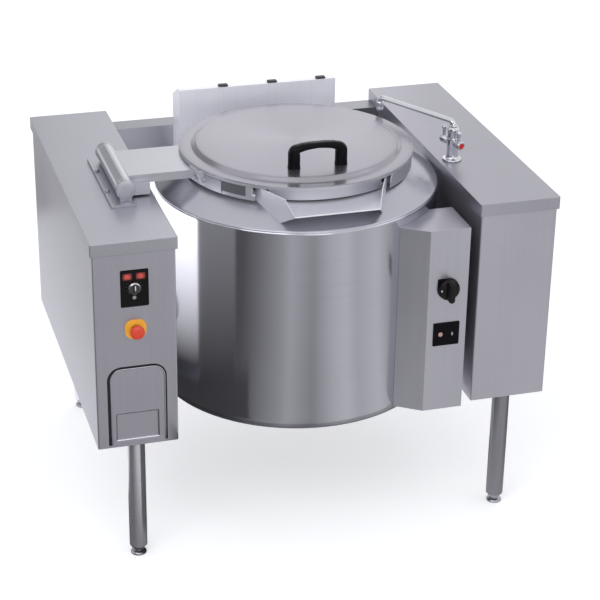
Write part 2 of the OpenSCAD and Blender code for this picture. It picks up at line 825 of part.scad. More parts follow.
// Bow handle on two posts
bow_t = 17;
bow_d = 30;
bow_over = 19;
bow_up = 58;
bow_rise = 18;
module lid_handle() {
    bow_half = handle_span / 2 + bow_over;
    bow_r = (bow_half * bow_half + bow_rise * bow_rise) / (2 * bow_rise);
    color([0.05, 0.05, 0.06]) translate([kettle_x, kettle_y - handle_forward, lid_top + seat_gap]) {
        for (s = [-1, 1]) translate([s * handle_span / 2, 0, 0])
            cylinder(r = post_r, h = bow_up - bow_t + bow_rise / 2);
        translate([0, -bow_d / 2, bow_up + bow_rise - bow_r]) rotate([-90, 0, 0]) linear_extrude(bow_d)
            intersection() {
                difference() {
                    circle(bow_r);
                    circle(bow_r - bow_t);
                }
                translate([-bow_half, -bow_r - overrun]) square([2 * bow_half, bow_r]);
            }
    }
}

// Kettle

module kettle_place(z = 0) { translate([kettle_x, kettle_y, z]) children(); }

// Outlet for burnt gas at the back, trunnion holes at the sides, gas pipe hole at the front
outlet_w = 300;
outlet_h = 24;
outlet_up = 6;
outlet_z = flue_z + outlet_up;
pipe_r = 8;
pipe_angle = -48;
pipe_up = 80;
pipe_z = kettle_z + pipe_up;
module shell_holes() {
    translate([kettle_x - outlet_w / 2, kettle_y + kettle_r / 2, outlet_z])
        cube([outlet_w, kettle_r, outlet_h]);
    kettle_place(pipe_z) rotate([0, 0, pipe_angle]) bar_x(pipe_r + run_gap, 2 * kettle_r);
}

module kettle_shell() {
    color([0.70, 0.70, 0.73]) difference() {
        kettle_place(shell_z) difference() {
            cylinder(r = kettle_r, h = band_z - shell_z - seat_gap);
            translate([0, 0, -overrun]) cylinder(r = kettle_r - shell_t, h = shell_h);
        }
        shell_holes();
    }
}

// Band, rounded edge, conical shoulder, fillet and neck in one sheet
edge_round = 7;
cone_lean = atan(cone_slope);
edge_x = kettle_r - edge_round;
edge_z = shoulder_z - edge_round / 2;
cone_low = [edge_x + edge_round * sin(cone_lean), edge_z + edge_round * cos(cone_lean)];
cone_high_r = cone_top_r - neck_round * sin(cone_lean);
cone_high = [cone_high_r, cone_low[1] + (cone_low[0] - cone_high_r) * cone_slope];
fillet_z = cone_high[1] + neck_round * cos(cone_lean);
top_path = concat(
    [[kettle_r, band_z]],
    arc(edge_x, edge_z, edge_round, 0, 90 - cone_lean),
    arc(cone_top_r, fillet_z, neck_round, 270 - cone_lean, 180),
    [[neck_r, neck_top_z - seat_gap]]);
module kettle_top() {
    color([0.78, 0.79, 0.82]) difference() {
        kettle_place() rotate_extrude() strip(top_path, shell_t);
        spout_cut();
    }
}

// The space above a plane that lies d below the top of the spout's floor
module above_floor(d) {
    translate([-kettle_r, -kettle_r, top_z + lip_z - d]) rotate([spout_slope, 0, 0])
        cube([2 * kettle_r, 2 * kettle_r, 2 * rim_top]);
}

// What is cut from the neck and the pan where the spout leaves
module spout_cut() {
    kettle_place() intersection() {
        translate([0, 0, shoulder_z]) linear_extrude(2 * rim_top + shoulder_drop)
            polygon([for (p = mouth_outline(seat_gap)) [p[0], min(p[1], -mouth_y / 2)]]);
        above_floor(spout_t + seat_gap);
    }
}

// Inner pan with a flat rim that lies on the neck and a dished bottom
pan_r = neck_r - shell_t - seat_gap;
pan_round = 12;
pan_rim_w = 4;
pan_floor_z = kettle_z + burner_room;
pan_seam_z = pan_floor_z + pan_round + pan_t;
module kettle_pan() {
    path = [[pan_r - pan_t + pan_rim_w, pan_rim_z], [pan_r - pan_t, pan_rim_z],
            [pan_r - pan_t, pan_seam_z]];
    color([0.83, 0.83, 0.85]) difference() {
        kettle_place() rotate_extrude() strip(path, pan_t);
        spout_cut();
    }
}

// Dished bottom of the pan, welded to its wall
module pan_bottom() {
    path = concat(
        [[pan_r - pan_t, pan_seam_z - seat_gap]],
        arc(pan_r - pan_t - pan_round, pan_floor_z + pan_round, pan_round, 0, -84),
        [[4 * pan_round, pan_floor_z - pan_dish], [0, pan_floor_z - pan_dish]]);
    color([0.83, 0.83, 0.85]) kettle_place() rotate_extrude() strip(path, pan_t);
}

// Bottom cover with its rounded edge
module kettle_bottom() {
    path = concat(
        [[0, kettle_z]],
        arc(kettle_r - bottom_round, kettle_z + bottom_round, bottom_round, -90, 0),
        [[kettle_r, shell_z - seat_gap]]);
    color([0.60, 0.60, 0.62]) kettle_place() rotate_extrude() strip(path, shell_t);
}

// Insulation inside the shell
module kettle_lagging() {
    lag_r = kettle_r - shell_t - seat_gap;
    lag_z = shell_z;
    color([0.85, 0.80, 0.60]) difference() {
        kettle_place(lag_z) difference() {
            cylinder(r = lag_r, h = outlet_z - lag_z - seat_gap);
            translate([0, 0, -overrun]) cylinder(r = lag_r - lagging_t, h = shell_h);
        }
        shell_holes();
        for (s = [-1, 1]) translate([kettle_x, axis_y, axis_z])
            mirror([s < 0 ? 1 : 0, 0, 0]) bar_x(hub_r + run_gap, 2 * kettle_r);
    }
}

// Burner: a ring on three legs, with its feed pipe out to the control box
burner_in = 146;
burner_r = pan_r - burner_in;
burner_tube = 16;
burner_legs = [30, 150, 270];
module burner() {
    burner_foot_z = kettle_z + shell_t + seat_gap;
    color([0.35, 0.33, 0.32]) kettle_place() {
        translate([0, 0, pipe_z]) rotate_extrude() translate([burner_r, 0])
            circle(burner_tube, $fn = 32);
        for (a = burner_legs) rotate([0, 0, a]) translate([burner_r, 0, burner_foot_z])
            cylinder(r = burner_tube / 2, h = pipe_z - burner_foot_z);
        translate([0, 0, pipe_z]) rotate([0, 0, pipe_angle])
            translate([burner_r, 0, 0]) bar_x(pipe_r, kettle_r - burner_r + 2 * valve_r);
    }
}

// Gas valve inside the control box, on the end of the feed pipe
valve_r = 22;
valve_l = 60;
valve_h = 70;
module gas_valve() {
    color([0.72, 0.60, 0.30]) kettle_place(pipe_z) rotate([0, 0, pipe_angle]) difference() {
        union() {
            translate([kettle_r + valve_r / 2, -valve_r, -valve_h / 2])
                cube([valve_l - valve_r, 2 * valve_r, valve_h]);
            translate([kettle_r + valve_r * 3 / 2, 0, valve_h / 2]) cylinder(r = valve_r / 2, h = valve_r);
        }
        bar_x(pipe_r + seat_gap / 2, kettle_r + 2 * valve_r + seat_gap);
    }
}

// Pouring spout: a sloping floor between two walls that follow the shoulder
module spout() {
    run = kettle_r - mouth_y;
    wall_l = norm([mouth_half - lip_half, run]);
    wall_turn = atan((mouth_half - lip_half) / run);
    top_h = lid_z - spout_t / 2 - shoulder_z;
    lip_h = top_z + lip_z - shoulder_z;
    share_along = spout_tip_back / run;
    color([0.84, 0.84, 0.88]) kettle_place() {
        difference() {
            intersection() {
                translate([0, 0, shoulder_z]) linear_extrude(2 * rim_top) intersection() {
                    polygon(mouth_outline(-spout_t / 2));
                    translate([-kettle_r, -kettle_r]) square([2 * kettle_r, kettle_r]);
                }
                above_floor(spout_t);
            }
            above_floor(0);
            cylinder(r = neck_r - shell_t - pan_t, h = 2 * top_z);
        }
        difference() {
            for (s = [0, 1]) mirror([s, 0, 0])
                translate([lip_half, -kettle_r, shoulder_z]) rotate([0, 0, 90 - wall_turn])
                    translate([0, spout_t, 0]) rotate([90, 0, 0]) linear_extrude(spout_t)
                        polygon([[0, lip_h], [0, lip_h - spout_t], [wall_l * 2 * share_along, 0],
                                 [wall_l, 0], [wall_l, top_h], [wall_l * share_along, top_h]]);
            rotate_extrude() polygon([
                [0, shoulder_z - kettle_r], [kettle_r, shoulder_z - kettle_r], [kettle_r, shoulder_z],
                cone_low + [0, seat_gap], cone_high + [0, seat_gap], [neck_r + seat_gap, fillet_z],
                [neck_r + seat_gap, 2 * top_z], [0, 2 * top_z]]);
        }
    }
}

// Trunnions: a saddle flange on the shell and a shaft into the pillar
hub_r = 50;
hub_in = 30;
flange_r = 75;
module trunnion(side, shaft_l) {
    wall_x = kettle_x + side * sqrt(kettle_r * kettle_r - tilt_ahead * tilt_ahead);
    face_x = side * (inner_half - gap_flange);
    color([0.62, 0.62, 0.65]) difference() {
        translate([side < 0 ? face_x : wall_x - hub_in, axis_y, axis_z])
            bar_x(flange_r, abs(face_x - wall_x) + hub_in);
        kettle_place(kettle_z) cylinder(r = kettle_r + seat_gap, h = shell_h);
    }
    color([0.62, 0.62, 0.65]) translate([side < 0 ? face_x - shaft_l : face_x, axis_y, axis_z])
        bar_x(trunnion_r, shaft_l);
}
gap_flange = 1;

module left_trunnion() {
    trunnion(-1, gap_flange + cap_over + mount_in + mount_t + bearing_t + 2 * run_gap);
}
module right_trunnion() {
    trunnion(1, gap_flange + cap_over + mount_in + mount_t + bearing_t + box_t + 8 * run_gap);
}

// Bearings on the frames' plates
module bearing(side) {
    color([0.30, 0.34, 0.38]) mirror([side < 0 ? 1 : 0, 0, 0])
        translate([inner_half + cap_over + mount_in + mount_t, axis_y, axis_z]) difference() {
            union() {
                bar_x(bearing_r, bearing_t);
                translate([0, -bearing_r - pin_r * 2, -bearing_r / 2])
                    cube([bearing_t / 2, 2 * bearing_r + pin_r * 4, bearing_r]);
            }
            translate([-overrun, 0, 0]) bar_x(trunnion_r + seat_gap / 4, bearing_t + 2 * overrun);
        }
}
module left_bearing() { bearing(-1); }
module right_bearing() { bearing(1); }

// Worm gearbox housing: a closed case round the wheel and worm, open for the shafts
module gearbox() {
    case_h = wheel_r * 2 + 2 * worm_r + 4 * box_wall;
    case_w = 2 * wheel_r + 4 * box_wall;
    color([0.28, 0.30, 0.34]) translate([drive_x - box_t / 2, axis_y, axis_z]) difference() {
        union() {
            translate([0, -case_w / 2, wheel_r + 2 * box_wall - case_h]) cube([box_t, case_w, case_h]);
            for (s = [-1, 1], z = [-1, 1])
                translate([-bearing_t - 4 * run_gap, s * (wheel_r - pin_r), z * (wheel_r - pin_r)])
                    bar_x(pin_r, bearing_t + 4 * run_gap);
        }
        translate([box_wall, 0, 0]) bar_x(wheel_r + box_wall, box_t - 2 * box_wall);
        translate([box_t / 2, -worm_l / 2 - box_wall, -worm_drop])
            bar_y(worm_r + box_wall / 2, worm_l + 2 * box_wall);
        translate([-box_t, 0, 0]) bar_x(trunnion_r + run_gap, 3 * box_t);
        translate([box_t / 2, 0, -worm_drop]) bar_y(worm_neck_r + run_gap, case_w);
    }
}

// Worm wheel, fixed on the right trunnion shaft
wheel_t = 34;
tooth_h = 5;
module worm_wheel() {
    color([0.70, 0.55, 0.25]) translate([drive_x - wheel_t / 2, axis_y, axis_z])
        rotate([0, 90, 0]) difference() {
        linear_extrude(wheel_t) union() {
            circle(wheel_r - tooth_h);
            for (i = [0:wheel_teeth - 1]) rotate(360 * i / wheel_teeth)
                polygon([[0, -tooth_h], [wheel_r, -tooth_h / 2], [wheel_r, tooth_h / 2], [0, tooth_h]]);
        }
        translate([0, 0, -overrun]) cylinder(r = trunnion_r + seat_gap / 4, h = wheel_t + 2 * overrun);
    }
}

// Worm with round grooves, on the motor's shaft
worm_grooves = 7;
module worm_shaft() {
    pitch = worm_l / (worm_grooves + 1);
    color([0.60, 0.60, 0.63]) translate([drive_x, axis_y, axis_z - worm_drop]) rotate([-90, 0, 0]) {
        translate([0, 0, -worm_l / 2]) rotate_extrude() polygon(concat(
            [[0, 0]],
            [for (i = [0:worm_grooves], k = [0:3])
                [worm_r - (k == 0 || k == 3 ? tooth_h : 0), pitch * (i + k / 4 + 1 / 8)]],
            [[0, worm_l]]));
        cylinder(r = worm_neck_r, h = wheel_r + 2 * box_wall + motor_l / 4);
    }
}

motor_box_h = 46;
module tilt_motor() {
    motor_y = axis_y + wheel_r + 2 * box_wall;
    color([0.25, 0.27, 0.30]) translate([drive_x, motor_y, axis_z - worm_drop]) difference() {
        union() {
            translate([0, seat_gap, 0]) bar_y(motor_r, motor_l);
            translate([-motor_r / 2, motor_l / 4, 0])
                cube([motor_r, motor_l / 2, motor_r + motor_box_h / 4]);
            translate([-motor_r, motor_l / 4, -motor_foot]) cube([2 * motor_r, motor_l / 2, motor_foot]);
        }
        translate([0, -overrun, 0]) bar_y(worm_neck_r + run_gap, motor_l / 4 + 2 * overrun);
    }
}
motor_foot_h = 4;
motor_foot = motor_r + motor_foot_h;

// Flue box and its cowls
flue_lip = 24;
flue_fall = 41;
flue_t = 2;
flue_h = top_z + flue_up - flue_z;
module flue_side(o) {
    polygon([[o, o], [flue_d - o, o], [flue_d - o, flue_h - flue_fall - o],
             [flue_lip, flue_h - o], [o, flue_h - o]]);
}
module flue_box() {
    color([0.80, 0.80, 0.83]) difference() {
        translate([kettle_x - flue_w / 2, flue_y, flue_z])
            rotate([90, 0, 90]) linear_extrude(flue_w) flue_side(0);
        translate([kettle_x - flue_w / 2 + flue_t, flue_y, flue_z])
            rotate([90, 0, 90]) linear_extrude(flue_w - 2 * flue_t) flue_side(flue_t);
        translate([kettle_x - outlet_w / 2, flue_y - overrun, outlet_z])
            cube([outlet_w, flue_t + 2 * overrun, outlet_h]);
        for (x = cowl_places)
            translate([kettle_x + x, flue_y + flue_lip / 2, flue_z + flue_h - flue_t - overrun])
                cylinder(r = cowl_hole_r, h = flue_t + 2 * overrun);
    }
}
cowl_apart = 163;
cowl_first = -114;
cowl_places = [cowl_first, cowl_first + cowl_apart, cowl_first + 2 * cowl_apart];
cowl_w = 30;
cowl_d = 18;
cowl_h = 6;
cowl_hole_r = 5;
cowl_wall = 1.5;
module flue_cowls() {
    color([0.20, 0.20, 0.22]) for (x = cowl_places)
        translate([kettle_x + x, flue_y + flue_lip / 2, flue_z + flue_h]) difference() {
            translate([-cowl_w / 2, -cowl_d / 2, 0]) cube([cowl_w, cowl_d, cowl_h]);
            translate([0, 0, -overrun]) cylinder(r = cowl_hole_r, h = cowl_h - cowl_wall + overrun);
            translate([-cowl_w / 2 + cowl_wall, 0, cowl_wall])
                cube([cowl_w - 2 * cowl_wall, cowl_d, cowl_h - 2 * cowl_wall]);
        }
}

// Control box on the kettle
ctrl_right = kettle_r - ctrl_in;
ctrl_facet_w = 201;
ctrl_facet_x = ctrl_right - ctrl_facet_w;
ctrl_facet_y = kettle_r - sqrt(kettle_r * kettle_r - ctrl_facet_x * ctrl_facet_x);
ctrl_t = 2;
ctrl_z = kettle_z + ctrl_up;
ctrl_h = top_z - ctrl_drop - ctrl_z;
ctrl_mid = ctrl_right - ctrl_w / 2;
function ctrl_outline() = [
    [ctrl_facet_x, ctrl_facet_y - kettle_r], [ctrl_right - ctrl_w, -kettle_r], [ctrl_right, -kettle_r],
    [ctrl_right, ctrl_d - kettle_r], [ctrl_right - ctrl_w, ctrl_d - kettle_r],
    [ctrl_facet_x, -kettle_r / 2]];
module control_box() {
    color([0.68, 0.68, 0.71]) difference() {
        kettle_place(ctrl_z) linear_extrude(ctrl_h) polygon(ctrl_outline());
        kettle_place(ctrl_z + ctrl_t) linear_extrude(ctrl_h - 2 * ctrl_t)
            polygon(inset(ctrl_outline(), ctrl_t));
        kettle_place(ctrl_z - overrun) cylinder(r = kettle_r + seat_gap, h = ctrl_h + 2 * overrun);
        translate([kettle_x + ctrl_mid, front_y - overrun, switch_z])
            bar_y(spindle_r + run_gap, ctrl_t + 2 * overrun);
    }
}

switch_drop = 257;
switch_z = top_z - switch_drop;
lamp_plate_drop = 405;
lamp_plate_z = top_z - lamp_plate_drop;
lamp_plate_w = 82;
lamp_plate_h = 75;
module control_box_plates() {
    color([0.06, 0.06, 0.07]) difference() {
        translate([kettle_x + ctrl_mid, 0, switch_z - switch_plate_w / 2]) on_front(front_y - control_t)
            linear_extrude(control_t) round_plate(switch_plate_w, switch_plate_w, plate_corner);
        translate([kettle_x + ctrl_mid, front_y - control_t - overrun, switch_z])
            bar_y(spindle_r + run_gap, control_t + 2 * overrun);
    }
    color([0.06, 0.06, 0.07]) translate([kettle_x + ctrl_mid, 0, lamp_plate_z - lamp_plate_h / 2])
        on_front(front_y - control_t) linear_extrude(control_t)
            round_plate(lamp_plate_w, lamp_plate_h, plate_corner);
}

switch_ridge = 14;
switch_ridge_w = 13;
module power_switch() {
    knob_h = switch_out - control_t - switch_ridge;
    color([0.05, 0.05, 0.06]) translate([kettle_x + ctrl_mid, front_y - switch_out, switch_z]) {
        translate([0, switch_ridge, 0]) bar_y(switch_r, knob_h - seat_gap);
        translate([-switch_ridge_w / 2, 0, -switch_r])
            cube([switch_ridge_w, 2 * switch_ridge, 2 * switch_r]);
        translate([0, switch_ridge, 0]) bar_y(spindle_r, switch_out);
    }
}

box_lamp_r = 7;
box_lamp_apart = 36;
box_lamp_t = 4;
module box_lamps() {
    color([0.9, 0.75, 0.72]) for (s = [-1, 1])
        translate([kettle_x + ctrl_mid + s * box_lamp_apart / 2,
                   front_y - control_t - box_lamp_t, lamp_plate_z])
            bar_y(box_lamp_r, box_lamp_t);
}

// Mixer tap on the right pillar

tap_x = inner_half + tap_in;
tap_y = front_y + tap_back;
tap_base_r = 30;
tap_base_h = 7;
tap_tail = 60;
tap_valve_r = 11;
tap_valve_z = 58;
tap_valve_l = 48;
hot_turn = -76;
cold_turn = 112;
module tap_body() {
    color([0.75, 0.76, 0.78]) translate([tap_x, tap_y, top_z]) difference() {
        union() {
            cylinder(r = tap_base_r, h = tap_base_h);
            cylinder(r = tap_r, h = tap_h);
            translate([0, 0, -tap_tail]) cylinder(r = tap_r, h = tap_tail + overrun);
            translate([0, 0, tap_valve_z]) rotate([0, 0, hot_turn]) bar_x(tap_valve_r, tap_valve_l / 2);
            translate([0, 0, tap_valve_z]) rotate([0, 0, cold_turn]) bar_x(tap_valve_r, tap_valve_l / 2);
        }
        translate([0, 0, tap_h - tap_plug_l]) cylinder(r = tap_tube_r + seat_gap, h = tap_plug_l + overrun);
    }
}

// Swivel spout: a stem in the body, a bend, a straight run and a nozzle
tap_plug_l = 20;
tap_bend = 16;
nozzle_r = 12;
nozzle_l = 50;
module quarter_bend() {
    rotate([90, 0, 0]) rotate_extrude(angle = 90) translate([tap_bend, 0]) circle(tap_tube_r);
}
module tap_spout() {
    rise = tap_bend;
    run = tap_reach - 2 * tap_bend;
    color([0.82, 0.83, 0.86]) translate([tap_x, tap_y, top_z + tap_h]) rotate([0, 0, tap_angle]) {
        translate([0, 0, -tap_plug_l + seat_gap]) cylinder(r = tap_tube_r, h = tap_plug_l);
        translate([tap_bend, 0, seat_gap]) mirror([1, 0, 0]) quarter_bend();
        translate([tap_bend, 0, rise + seat_gap]) bar_x(tap_tube_r, run);
        translate([tap_bend + run, 0, seat_gap]) quarter_bend();
        translate([tap_reach, 0, rise + tap_tube_r - nozzle_l]) difference() {
            cylinder(r = nozzle_r, h = nozzle_l);
            translate([0, 0, -overrun]) cylinder(r = tap_tube_r, h = nozzle_l / 3 + overrun);
        }
    }
}

// A handle is a hub on its valve and a lever that leans to one side
tap_handle_r = 14;
tap_handle_l = 24;
tap_lever_r = 7;
tap_lever_l = 38;
hot_lean = 6;
cold_lean = -6;
module tap_handle(turn, lean) {
    translate([tap_x, tap_y, top_z + tap_valve_z]) rotate([0, 0, turn])
        translate([tap_valve_l / 2 + seat_gap, 0, 0]) rotate([lean, 0, 0]) {
            bar_x(tap_handle_r, tap_handle_l);
            translate([tap_handle_l / 2, 0, 0]) cylinder(r = tap_lever_r, h = tap_lever_l);
            translate([tap_handle_l / 2, 0, tap_lever_l]) sphere(tap_lever_r);
        }
}
module hot_handle() { color([0.85, 0.85, 0.88]) tap_handle(hot_turn, hot_lean); }
module cold_handle() { color([0.85, 0.85, 0.88]) tap_handle(cold_turn, cold_lean); }

left_casing();
left_cap();
left_back_panel();
left_frame();
right_casing();
right_cap();
right_back_panel();
right_frame();
rear_beam();
front_left_leg();
front_right_leg();
rear_left_leg();
rear_right_leg();
front_left_foot();
front_right_foot();
rear_left_foot();
rear_right_foot();
service_panel();
control_plate();
displays();
control_knob();
stop_plate();
stop_button();
control_board();
hinge_base();
hinge_pin();
hinge_spring();
lid_barrel();
lid_arm();
lid_disc();
lid_skirt();
lid_seal();
lid_handle();
kettle_shell();
kettle_top();
kettle_pan();
pan_bottom();
kettle_bottom();
kettle_lagging();
burner();
spout();
flue_box();
flue_cowls();
control_box();
control_box_plates();
power_switch();
box_lamps();
gas_valve();
left_trunnion();
right_trunnion();
left_bearing();
right_bearing();
gearbox();
worm_wheel();
worm_shaft();
tilt_motor();
tap_body();
tap_spout();
hot_handle();
cold_handle();
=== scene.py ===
"""Tilting cooking kettle: brushed steel pillars, a round kettle on trunnions and a hinged lid.

Each new piece is a grid of points computed with numpy from a formula that its function
states in words. Lengths are metres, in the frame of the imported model.
"""
import math

import bmesh
import bpy
import numpy as np
from mathutils import Matrix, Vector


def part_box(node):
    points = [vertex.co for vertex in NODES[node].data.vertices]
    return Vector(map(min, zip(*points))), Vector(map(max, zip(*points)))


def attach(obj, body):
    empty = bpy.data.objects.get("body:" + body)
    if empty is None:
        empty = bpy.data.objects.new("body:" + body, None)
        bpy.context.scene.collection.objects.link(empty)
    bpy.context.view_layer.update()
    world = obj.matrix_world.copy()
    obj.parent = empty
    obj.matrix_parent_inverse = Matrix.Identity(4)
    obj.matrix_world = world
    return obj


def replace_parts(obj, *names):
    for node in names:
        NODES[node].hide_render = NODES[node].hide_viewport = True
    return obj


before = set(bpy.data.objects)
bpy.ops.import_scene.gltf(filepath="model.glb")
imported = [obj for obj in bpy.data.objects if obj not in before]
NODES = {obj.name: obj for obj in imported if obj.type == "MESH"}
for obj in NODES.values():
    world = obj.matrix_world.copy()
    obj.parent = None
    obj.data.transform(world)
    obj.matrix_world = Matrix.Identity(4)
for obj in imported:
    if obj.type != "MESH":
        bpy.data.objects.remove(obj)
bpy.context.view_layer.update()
TAU = 2 * math.pi


def low(node):
    """The lowest x, y and z of a CAD node."""
    return np.array(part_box(node)[0])


def high(node):
    """The highest x, y and z of a CAD node."""
    return np.array(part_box(node)[1])


def mid(node):
    """The middle of a CAD node's box."""
    return (low(node) + high(node)) / 2


def half_width(node):
    """Half of a CAD node's width, which is the radius of a round upright one."""
    return (high(node)[0] - low(node)[0]) / 2


# Places that several pieces share, read from the frame
kettle_r = half_width("kettle_top")
kettle_at = mid("kettle_top")[:2]
lid_rim_z = high("lid_skirt")[2]
lid_r = half_width("lid_skirt")
left_x = mid("left_cap")[0]
right_x = mid("right_cap")[0]
cap_top = high("left_cap")[2]
front_y = low("left_cap")[1]


# --- Finishes -------------------------------------------------------------------------


def finish(name, tone, metal, rough):
    """A named material with its shader's own colour, metalness and roughness set."""
    material = bpy.data.materials.new(name)
    material.use_nodes = True
    shader = material.node_tree.nodes["Principled BSDF"]
    shader.inputs["Base Color"].default_value = (*tone, 1)
    shader.inputs["Metallic"].default_value = metal
    shader.inputs["Roughness"].default_value = rough
    return material, material.node_tree, shader


def place_of(tree, scale, along_uv=False):
    """Coordinates of the piece itself, or of its own UV map, stretched by scale."""
    where = tree.nodes.new("ShaderNodeTexCoord")
    stretch = tree.nodes.new("ShaderNodeMapping")
    stretch.inputs["Scale"].default_value = scale
    tree.links.new(where.outputs["UV" if along_uv else "Object"], stretch.inputs["Vector"])
    return stretch.outputs["Vector"]


def noise_on(tree, coordinates, scale, detail, rough):
    """Soft noise from 0 to 1 over the coordinates."""
    noise = tree.nodes.new("ShaderNodeTexNoise")
    noise.inputs["Scale"].default_value = scale
    noise.inputs["Detail"].default_value = detail
    noise.inputs["Roughness"].default_value = rough
    tree.links.new(coordinates, noise.inputs["Vector"])
    return noise.outputs["Fac"]


def shade_between(tree, factor, stops):
    """A colour ramp over factor; stops are (position, colour)."""
    ramp = tree.nodes.new("ShaderNodeValToRGB")
    while len(ramp.color_ramp.elements) < len(stops):
        ramp.color_ramp.elements.new(0.5)
    for element, (position, colour) in zip(ramp.color_ramp.elements, stops):
        element.position = position
        element.color = (*colour, 1)
    tree.links.new(factor, ramp.inputs["Fac"])
    return ramp.outputs["Color"]


def between(tree, factor, start, end):
    """Maps factor from 0..1 to start..end."""
    span = tree.nodes.new("ShaderNodeMapRange")
    span.inputs["To Min"].default_value = start
    span.inputs["To Max"].default_value = end
    tree.links.new(factor, span.inputs["Value"])
    return span.outputs["Result"]


def combined(tree, first, second, mode="ADD"):
    """One number from two, each a number or a socket, by the operation that mode names."""
    step = tree.nodes.new("ShaderNodeMath")
    step.operation = mode
    for socket, value in zip(step.inputs, (first, second)):
        if isinstance(value, (int, float)):
            socket.default_value = value
        else:
            tree.links.new(value, socket)
    return step.outputs["Value"]


def mixed(tree, first, second, share):
    """first times share, plus second times one less share."""
    return combined(tree, combined(tree, first, share, "MULTIPLY"),
                    combined(tree, second, 1 - share, "MULTIPLY"))


def relief(tree, shader, height, strength, distance):
    """A shallow relief: the shader's normal leans with the slope of height."""
    bump = tree.nodes.new("ShaderNodeBump")
    bump.inputs["Strength"].default_value = strength
    bump.inputs["Distance"].default_value = distance
    tree.links.new(height, bump.inputs["Height"])
    tree.links.new(bump.outputs["Normal"], shader.inputs["Normal"])


def scaled(tone, by):
    """A colour times a number, with no channel above one."""
    return tuple(min(1.0, c * by) for c in tone)


def clouded(tree, shader, factor, tone, speckle, least_rough, most_rough):
    """Lets factor tint the shader from tone less speckle to tone plus speckle, and take its
    roughness from least_rough to most_rough."""
    tree.links.new(shade_between(tree, factor, [
        (0.3, scaled(tone, 1 - speckle)), (0.7, scaled(tone, 1 + speckle))]),
        shader.inputs["Base Color"])
    tree.links.new(between(tree, factor, least_rough, most_rough), shader.inputs["Roughness"])


EVEN = (1, 1, 1)


def brushed_steel(name, tone, grain, rough, streak=0.03, along_uv=False, turned_grain=0.0,
                  metal=0.86, swing=0.07):
    """Brushed sheet: hair lines stretched along the grain tint it, roughen it and give it a
    shallow relief, and a broad soft cloud stands for handling marks. grain holds how fast
    the lines change along each axis, small along the brushing. turned_grain draws the
    gloss out across the brushing."""
    material, tree, shader = finish(name, tone, metal, rough)
    lines = noise_on(tree, place_of(tree, grain, along_uv), 1.0, 3.0, 0.7)
    cloud = noise_on(tree, place_of(tree, EVEN), 4.5, 3.0, 0.5)
    both = mixed(tree, lines, cloud, 0.6)
    colour = shade_between(tree, both, [(0.30, scaled(tone, 1 - 2 * streak)), (0.5, tone),
                                        (0.72, scaled(tone, 1 + 1.6 * streak))])
    tree.links.new(colour, shader.inputs["Base Color"])
    tree.links.new(between(tree, both, rough - swing, rough + 1.2 * swing),
                   shader.inputs["Roughness"])
    relief(tree, shader, lines, 0.07, 0.0004)
    if turned_grain:
        shader.inputs["Anisotropic"].default_value = turned_grain
        shader.inputs["Anisotropic Rotation"].default_value = 0.25
        tangent = tree.nodes.new("ShaderNodeTangent")
        tangent.direction_type = "UV_MAP"
        tree.links.new(tangent.outputs["Tangent"], shader.inputs["Tangent"])
    return material


def turned_steel(name, tone, rough, turned_grain=0.0, metal=0.86, swing=0.07, streak=0.03):
    """Steel that was brushed round its axis, with the grain on the piece's own UV map."""
    return brushed_steel(name, tone, ROUND, rough, streak, True, turned_grain, metal, swing)


def plain_metal(name, tone, rough, speckle=0.06, scale=60.0, depth=0.15):
    """Cast, turned or plated metal: a fine cloud tints it and roughens it a little."""
    material, tree, shader = finish(name, tone, 1.0, rough)
    cloud = noise_on(tree, place_of(tree, EVEN), scale, 4.0, 0.6)
    clouded(tree, shader, cloud, tone, speckle, max(0.02, rough - 0.05), rough + 0.08)
    relief(tree, shader, cloud, depth, 0.0006)
    return material


def moulded(name, tone, rough, speckle=0.12, scale=220.0, coat=0.0, depth=0.08, gloss=0.5):
    """Moulded plastic, paint, rubber or wool: a fine grain in colour, gloss and relief."""
    material, tree, shader = finish(name, tone, 0.0, rough)
    cloud = noise_on(tree, place_of(tree, EVEN), scale, 3.0, 0.6)
    broad = noise_on(tree, place_of(tree, EVEN), 9.0, 3.0, 0.5)
    clouded(tree, shader, mixed(tree, cloud, broad, 0.5), tone, speckle,
            max(0.03, rough - 0.08), rough + 0.08)
    shader.inputs["Specular IOR Level"].default_value = gloss
    shader.inputs["Coat Weight"].default_value = coat
    shader.inputs["Coat Roughness"].default_value = 0.08
    relief(tree, shader, cloud, depth, 0.0004)
    return material


def glowing(name, tone, glow, strength):
    """A lit window: a soft cell pattern of brighter and darker glow behind a clear face."""
    material, tree, shader = finish(name, tone, 0.0, 0.2)
    cells = noise_on(tree, place_of(tree, EVEN), 160.0, 2.0, 0.5)
    for socket, colour, dim in (("Emission Color", glow, 0.75), ("Base Color", tone, 0.8)):
        tree.links.new(shade_between(tree, cells, [(0.3, scaled(colour, dim)), (0.7, colour)]),
                       shader.inputs[socket])
    shader.inputs["Emission Strength"].default_value = strength
    return material


